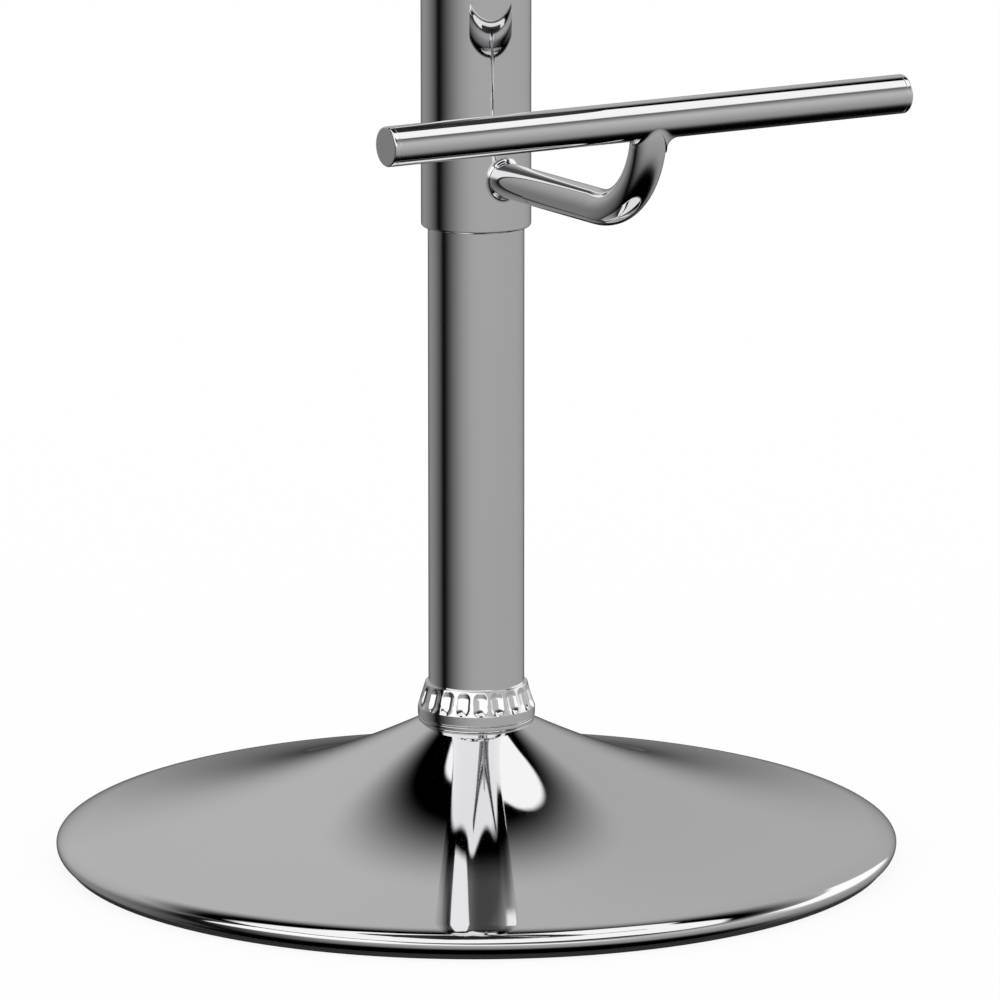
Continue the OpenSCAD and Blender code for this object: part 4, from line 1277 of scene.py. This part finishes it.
    def socket(self) -> None:
        """The tapered socket with the weld that holds it under the pan."""
        low, high = span("seat_socket")
        bore, outer, pan = span("pressure_tube")[1][0] + self.slip, high[0], span("seat_plate")[0][2]
        profile = outline([
            (bore, low[2], 0.6), (outer, low[2], 1.2), (outer, pan - 3.2, 1.5), (outer + 3, pan - 0.05, 0.5),
            (outer, pan + 0.2, 0), (outer, high[2], 0.8), (bore, high[2], 0.4),
        ], steps=6)
        self.settle(turned("seat_socket_tube", profile, 128), Body.UPPER, Slot.black_enamel, "seat_socket")

    def bolts(self) -> None:
        """Four button heads with a hexagon recess, and their washers."""
        spots = [(x * self.bolt_at, y * self.bolt_at, 0.0) for x in (-1, 1) for y in (-1, 1)]
        low, high = span("seat_bolts")
        seat, shank = low[2] + 4, 3.0
        head = bezier([5.5, seat - 0.8], [5.4, seat - 2.6], [4.2, low[2] + 0.1], [2.9, low[2]], 10)
        body = [[0, high[2]], [shank, high[2]], [shank, seat], [5.5, seat], [5.5, seat - 0.8]]
        rows = np.concatenate([body, head])
        angles = np.linspace(0, FULL_TURN, 48, endpoint=False)
        hexagon = 2.0 / np.cos((angles + math.pi / 6) % (math.pi / 3) - math.pi / 6)
        radius = np.concatenate([rows[:, :1] + 0 * angles, [hexagon + 0.15, hexagon, hexagon, 0 * hexagon]])
        socket = [low[2] + 0.05, low[2] + 0.3, low[2] + 2.2, low[2] + 2.5]
        height = np.concatenate([rows[:, 1], socket])[:, None]
        points, quads = repeated(lathe(radius, height, 48), grid_faces(len(height), 48), spots)
        bolts = make_piece("seat_bolt_heads", points, quads, weld=True)
        self.settle(bolts, Body.UPPER, Slot.zinc_steel, "seat_bolts")
        low, high = span("bolt_washers")
        disc = outline([(3.3, low[2], 0.15), (high[0] - self.bolt_at, low[2], 0.45),
                        (high[0] - self.bolt_at, high[2], 0.2), (3.3, high[2], 0.1)], steps=4)
        quads = grid_faces(len(disc), 64, ring_rows=True)
        points, quads = repeated(lathe(disc[:, :1], disc[:, 1:], 64), quads, spots)
        self.settle(make_piece("seat_bolt_discs", points, quads), Body.UPPER, Slot.zinc_steel, "bolt_washers")

    def lever(self) -> None:
        """The bent rod with its nose over the release pin and its eye round the pivot, and the grip."""
        way = outline(self.lever_path, closed=False)
        path = np.stack([way[:, 0], 0 * way[:, 0], way[:, 1]], axis=1)
        size = np.ones(len(path))
        size[0] = size[-1] = 0
        ring = ring_profile(self.rod_r, 32) * size[:, None, None]
        ring[1] = ring[-2] = ring_profile(self.rod_end_r, 32)
        rod = make_piece("lever_bent_rod", swept(path, np.array([0, 1.0, 0]), ring), grid_faces(len(path), 32),
                         weld=True)
        self.settle(rod, Body.LEVER, Slot.trim_chrome, "lever_rod")
        for name, (x, z, _), radius, wide in (("lever_nose", self.lever_path[0], 4.5, 8),
                                              ("lever_eye", self.lever_path[1], 6.3, 13)):
            profile = outline([(0, -wide / 2, 0), (radius, -wide / 2, 0.6), (radius, wide / 2, 0.6),
                               (0, wide / 2, 0)], closed=False, steps=6)
            part = turned(name, profile, 64, Axis.BACK, (x, 0, z), closed=False)
            self.settle(part, Body.LEVER, Slot.trim_chrome)
        long = self.grip_len
        profile = np.concatenate([
            [[0, 0], [5.5, 0], [6.0, 0.3], [6.2, 1]],
            bezier([6.2, 1], [6.6, 0.3 * long], [7.5, 0.35 * long], [7.5, 0.65 * long], 24),
            bezier([7.5, 0.65 * long], [7.5, 0.9 * long], [5.25, long], [0, long], 24),
        ])
        at = (span("lever_grip")[1][0], 0, self.lever_path[-1][1])
        grip = turned("lever_hand_grip", profile, 96, Axis.LEFT, at, closed=False)
        self.settle(grip, Body.LEVER, Slot.black_plastic, "lever_grip")


@dataclass(frozen=True)
class Curve:
    """A value that changes smoothly with azimuth, or with twice the elevation.

    Attributes:
        name: What the value is.
        points: Degrees from -180 to 180 and the value there.
        scale: A value that the curve never passes.
    """

    name: str
    points: tuple[tuple[float, float], ...]
    scale: float = 1.0

    def shape(self, mapping: bpy.types.CurveMapping) -> None:
        """Lays a curve node's line through the points, as shares of the turn and of the scale.

        Args:
            mapping: The curve node's own line, changed in place.
        """
        line = mapping.curves[0]
        spots = [(x / 360 + 0.5, y / self.scale) for x, y in self.points]
        line.points[0].location, line.points[1].location = spots[0], spots[-1]
        for x, y in spots[1:-1]:
            line.points.new(x, y)
        mapping.update()


@dataclass(frozen=True)
class Panel:
    """A lit panel on the wall. Each border is where it starts to change and where it ends, in degrees.

    Attributes:
        tone: How bright it is.
        left: Left border.
        right: Right border.
        foot: Lower border.
        head: Upper border, or None for the slanting line of the panel behind the camera.
    """

    tone: float
    left: tuple[float, float]
    right: tuple[float, float]
    foot: tuple[float, float]
    head: tuple[float, float] | None = None


@dataclass(frozen=True)
class Studio:
    """The camera and the light round the stool. Angles in degrees, azimuth 0 towards the camera.

    The stool's chrome shows a grey room: walls that fade towards a dark upright seam and towards
    their own borders, a white ceiling of lamps over them and a dark floor. Pairs are where a soft
    border starts and ends.

    Attributes:
        left_dim: Share of the wall's tone that is left on the left, low down.
        near_drop: How much lower the right-hand lamps come for what is mirrored once, since the
            foot bar hangs nearer to them than the base does.
        first_mirror: The renderer's ray depth for the room seen in one mirror.
    """

    place: tuple[float, float, float] = (-2.2577, -3.7192, 1.127)
    heading: float = 58.578
    dip: float = 12.169
    lens: float = 308.19
    ceiling: float = 1.12
    curves: tuple[Curve, ...] = (
        Curve("wall", (
            (-180, 0.5), (-165, 0.52), (-150, 0.5), (-140, 0.48), (-130, 0.45), (-120, 0.39), (-110, 0.3),
            (-100, 0.19), (-92, 0.085), (-87, 0.02), (-84, 0.008), (-80, 0.014), (-72, 0.06), (-60, 0.165),
            (-50, 0.255), (-40, 0.35), (-30, 0.43), (-20, 0.49), (-5, 0.55), (20, 0.57), (60, 0.56),
            (100, 0.55), (120, 0.53), (140, 0.48), (160, 0.45), (180, 0.5),
        )),
        Curve("level", (
            (-180, 0), (-120, 0), (-112, 0.002), (-106, 0.01), (-100, 0.035), (-90, 0.16), (-80, 0.36),
            (-70, 0.49), (-60, 0.59), (-40, 0.68), (-20, 0.79), (0, 0.9), (20, 0.98), (180, 0.98),
        )),
        Curve("wall_top", (
            (-180, 54.5), (-170, 54), (-165, 53.5), (-155, 52.3), (-150, 52.3), (-135, 52), (-120, 51),
            (-110, 48), (-90, 46), (-80, 40), (-60, 36), (-20, 34), (30, 34), (60, 38), (70, 42), (80, 46),
            (90, 50), (110, 50.5), (140, 52), (158, 52.3), (165, 53.5), (180, 54.5),
        ), 90),
        Curve("wall_fade", (
            (-180, 16), (-100, 17), (-60, 18), (-20, 14), (30, 14), (50, 18), (62, 24), (70, 28), (95, 30),
            (120, 24), (150, 16), (180, 16),
        ), 90),
        Curve("gap", (
            (-180, 0), (-112, 0), (-100, 0.03), (-85, 0.08), (-30, 0.2), (-18, 0.17), (-8, 0.12), (2, 0.09),
            (30, 0.08), (60, 0.09), (80, 0.08), (100, 0), (180, 0),
        )),
        Curve("panel_top", (
            (-180, 48), (-80, 48), (-50, 47), (-34, 46), (-28, 42), (-22, 35), (-15, 29), (0, 24), (20, 20),
            (36, 16), (180, 16),
        ), 90),
        Curve("lamps", (
            (-180, 58.5), (-172, 59.3), (-165, 58.9), (-158, 59.9), (-150, 60), (-130, 55.5), (-110, 52),
            (-45, 51.5), (-32, 50), (-22, 46.5), (-12, 46), (2, 48.2), (20, 51), (34, 52), (50, 51.5),
            (66, 49.5), (80, 50), (90, 53), (100, 57), (115, 58), (150, 56), (154, 54.2), (158, 51.5),
            (162, 50.8), (166, 51.4), (170, 53.8), (172, 56), (180, 58.5),
        ), 90),
        Curve("lamps_fade", (
            (-180, 1.5), (-156, 1.5), (-145, 4), (-120, 5), (-100, 3), (-85, 2), (-60, 2), (0, 2), (45, 2),
            (54, 2.4), (66, 5), (80, 5), (110, 2.4), (120, 2), (150, 1.5), (180, 1.5),
        ), 90),
    )
    panels: tuple[Panel, ...] = (
        Panel(1.2, (-79, -76), (28, 46), (-2, 13)),
        Panel(1.2, (86, 103), (148, 150.5), (-3, 13), (33.5, 36)),
    )
    panel_edge: tuple[float, float] = (-1.5, 1.5)
    left_dim: float = 0.76
    left_dim_height: tuple[float, float] = (-15.0, 20.0)
    left_dim_border: tuple[float, float] = (-90.0, -78.0)
    rear_foot: tuple[float, float] = (-20.0, 18.0)
    rear_border: tuple[float, float] = (138.0, 180.0)
    gap_end: tuple[float, float] = (40.0, 48.0)
    near_drop: float = 12.0
    near_start: tuple[float, float] = (52.0, 70.0)
    near_end: tuple[float, float] = (80.0, 146.0)
    first_mirror: float = 2.0
    floor_white: float = 0.88

    def build(self) -> None:
        """Sets the camera, the room and the floor."""
        self.camera()
        self.room()
        self.floor()
        bpy.context.scene.view_settings.view_transform = "Standard"

    def camera(self) -> None:
        """A long lens at the photograph's place and angle."""
        data = bpy.data.cameras.new("view")
        data.lens = self.lens
        data.sensor_width = 36
        data.clip_end = 100
        held = bpy.data.objects.new("view", data)
        turn, dip = math.radians(self.heading), math.radians(self.dip)
        way = Vector((math.cos(dip) * math.cos(turn), math.cos(dip) * math.sin(turn), -math.sin(dip)))
        held.location = self.place
        held.rotation_mode = "QUATERNION"
        held.rotation_quaternion = way.to_track_quat("-Z", "Y")
        bpy.context.scene.collection.objects.link(held)
        bpy.context.scene.camera = held

    def room(self) -> None:
        """The world: white to the camera, plain light to matt surfaces and the grey room to gloss."""
        world = bpy.data.worlds.new("studio")
        bpy.context.scene.world = world
        world.use_nodes = True
        world.cycles.sampling_method = "NONE"
        tree = world.node_tree
        tree.nodes.clear()
        tone = self.room_tone(tree)
        gloss = add_node(tree, "LightPath", output="Is Glossy Ray")
        shade = add_node(tree, "Mix", {"Factor": gloss, "A": (1, 1, 1, 1), "B": tone}, output="Result",
                         data_type="RGBA")
        glow = add_node(tree, "Background", {"Color": shade, "Strength": 1.0})
        end = tree.nodes.new("ShaderNodeOutputWorld")
        tree.links.new(glow, end.inputs["Surface"])

    def room_tone(self, tree: bpy.types.NodeTree) -> bpy.types.NodeSocket:
        """How bright the room is in each direction, by azimuth and elevation.

        A MapRange's own ends can be other tones, so that each soft edge is one such node.

        Args:
            tree: The world's node tree.

        Returns:
            The brightness.
        """
        turn = math.radians(self.heading)
        way = add_node(tree, "TexCoord", output="Generated")
        near = add_node(tree, "VectorMath", (way, (-math.cos(turn), -math.sin(turn), 0)), output="Value",
                        operation="DOT_PRODUCT")
        right = add_node(tree, "VectorMath", (way, (math.sin(turn), -math.cos(turn), 0)), output="Value",
                         operation="DOT_PRODUCT")
        up = add_node(tree, "SeparateXYZ", (way,), output="Z")
        around = add_node(tree, "Math", (right, near), operation="ARCTAN2")
        upwards = add_node(tree, "Math", (up,), operation="ARCSINE")
        azimuth = add_node(tree, "Math", (around, 180 / math.pi), operation="MULTIPLY")
        height = add_node(tree, "Math", (upwards, 180 / math.pi), operation="MULTIPLY")
        lines = {}
        for curve in self.curves:
            value, end = (height, 90.0) if curve.name == "level" else (azimuth, 180.0)
            place = blend(tree, value, (-end, end), 0.0, 1.0, smooth=False)
            line = add_node(tree, "FloatCurve", {"Value": place})
            curve.shape(line.node.mapping)
            lines[curve.name] = add_node(tree, "Math", (line, curve.scale), operation="MULTIPLY")

        wall = add_node(tree, "Math", (lines["wall"], lines["level"]), operation="MULTIPLY")
        dimmer = add_node(tree, "Math", (wall, self.left_dim), operation="MULTIPLY")
        dimmer = blend(tree, height, self.left_dim_height, dimmer, wall)
        wall = blend(tree, azimuth, self.left_dim_border, dimmer, wall)
        rear = blend(tree, height, self.rear_foot, 0.0, wall)
        off = add_node(tree, "Math", (azimuth,), operation="ABSOLUTE")
        wall = blend(tree, off, self.rear_border, wall, rear)
        below = add_node(tree, "Math", (lines["wall_top"], height), operation="SUBTRACT")
        gap = blend(tree, height, self.gap_end, lines["gap"], 0.0)
        tone = blend(tree, below, (0.0, lines["wall_fade"]), gap, wall)

        over_panel = add_node(tree, "Math", (height, lines["panel_top"]), operation="SUBTRACT")
        for panel in self.panels:
            head, ends = (over_panel, self.panel_edge) if panel.head is None else (height, panel.head)
            lit: Tone = panel.tone
            lit = blend(tree, height, panel.foot, tone, lit)
            lit = blend(tree, head, ends, lit, tone)
            lit = blend(tree, azimuth, panel.left, tone, lit)
            tone = blend(tree, azimuth, panel.right, lit, tone)

        nearer = blend(tree, azimuth, self.near_end, self.near_drop, 0.0, smooth=False)
        nearer = blend(tree, azimuth, self.near_start, 0.0, nearer)
        depth = add_node(tree, "LightPath", output="Ray Depth")
        once_or_twice = (self.first_mirror, self.first_mirror + 1)
        nearer = blend(tree, depth, once_or_twice, nearer, 0.0, smooth=False)
        over_lamps = add_node(tree, "Math", (height, lines["lamps"]), operation="SUBTRACT")
        over_lamps = add_node(tree, "Math", (over_lamps, nearer), operation="ADD")
        return blend(tree, over_lamps, (0.0, lines["lamps_fade"]), tone, self.ceiling)

    def floor(self) -> None:
        """A plain white floor that keeps a faint shadow. The chrome sees the room's dark floor instead."""
        half = 30.0
        mesh = bpy.data.meshes.new("floor")
        corners = [(-half, -half, 0), (half, -half, 0), (half, half, 0), (-half, half, 0)]
        mesh.from_pydata(corners, [], [(0, 1, 2, 3)])
        ground = bpy.data.objects.new("floor", mesh)
        bpy.context.scene.collection.objects.link(ground)
        made = bpy.data.materials.new("white_floor")
        made.use_nodes = True
        tree = made.node_tree
        tree.nodes.clear()
        path = add_node(tree, "LightPath", output="Is Glossy Ray")
        matt = add_node(tree, "BsdfDiffuse", {"Color": (1 - self.floor_white,) * 3 + (1,)})
        glow = add_node(tree, "Emission", {"Color": (self.floor_white,) * 3 + (1,), "Strength": 1.0})
        white = add_node(tree, "AddShader", (matt, glow))
        clear = add_node(tree, "BsdfTransparent")
        both = add_node(tree, "MixShader", (path, white, clear))
        end = tree.nodes.new("ShaderNodeOutputMaterial")
        tree.links.new(both, end.inputs["Surface"])
        mesh.materials.append(made)


def dress_nodes(wardrobe: Wardrobe) -> None:
    """Gives every node of the frame the finish of its slot.

    Args:
        wardrobe: The maker of materials.
    """
    for part in frame["record"]["subparts"]:
        mesh = frame["nodes"][part["node"]].data
        mesh.materials.clear()
        mesh.materials.append(wardrobe(Slot[part["material_slot"]].value))


def main() -> None:
    """Builds the stool's looks, its light and its camera."""
    logging.basicConfig(level=logging.INFO, format="%(name)s: %(message)s")
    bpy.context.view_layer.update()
    wardrobe = Wardrobe()
    dress_nodes(wardrobe)
    for assembly in (Pedestal(wardrobe), Footrest(wardrobe), Seat(wardrobe)):
        assembly.build()
        log.info("%s: %s", type(assembly).__name__, ", ".join(assembly.pieces))
    Studio().build()


if __name__ == "__main__":
    main()
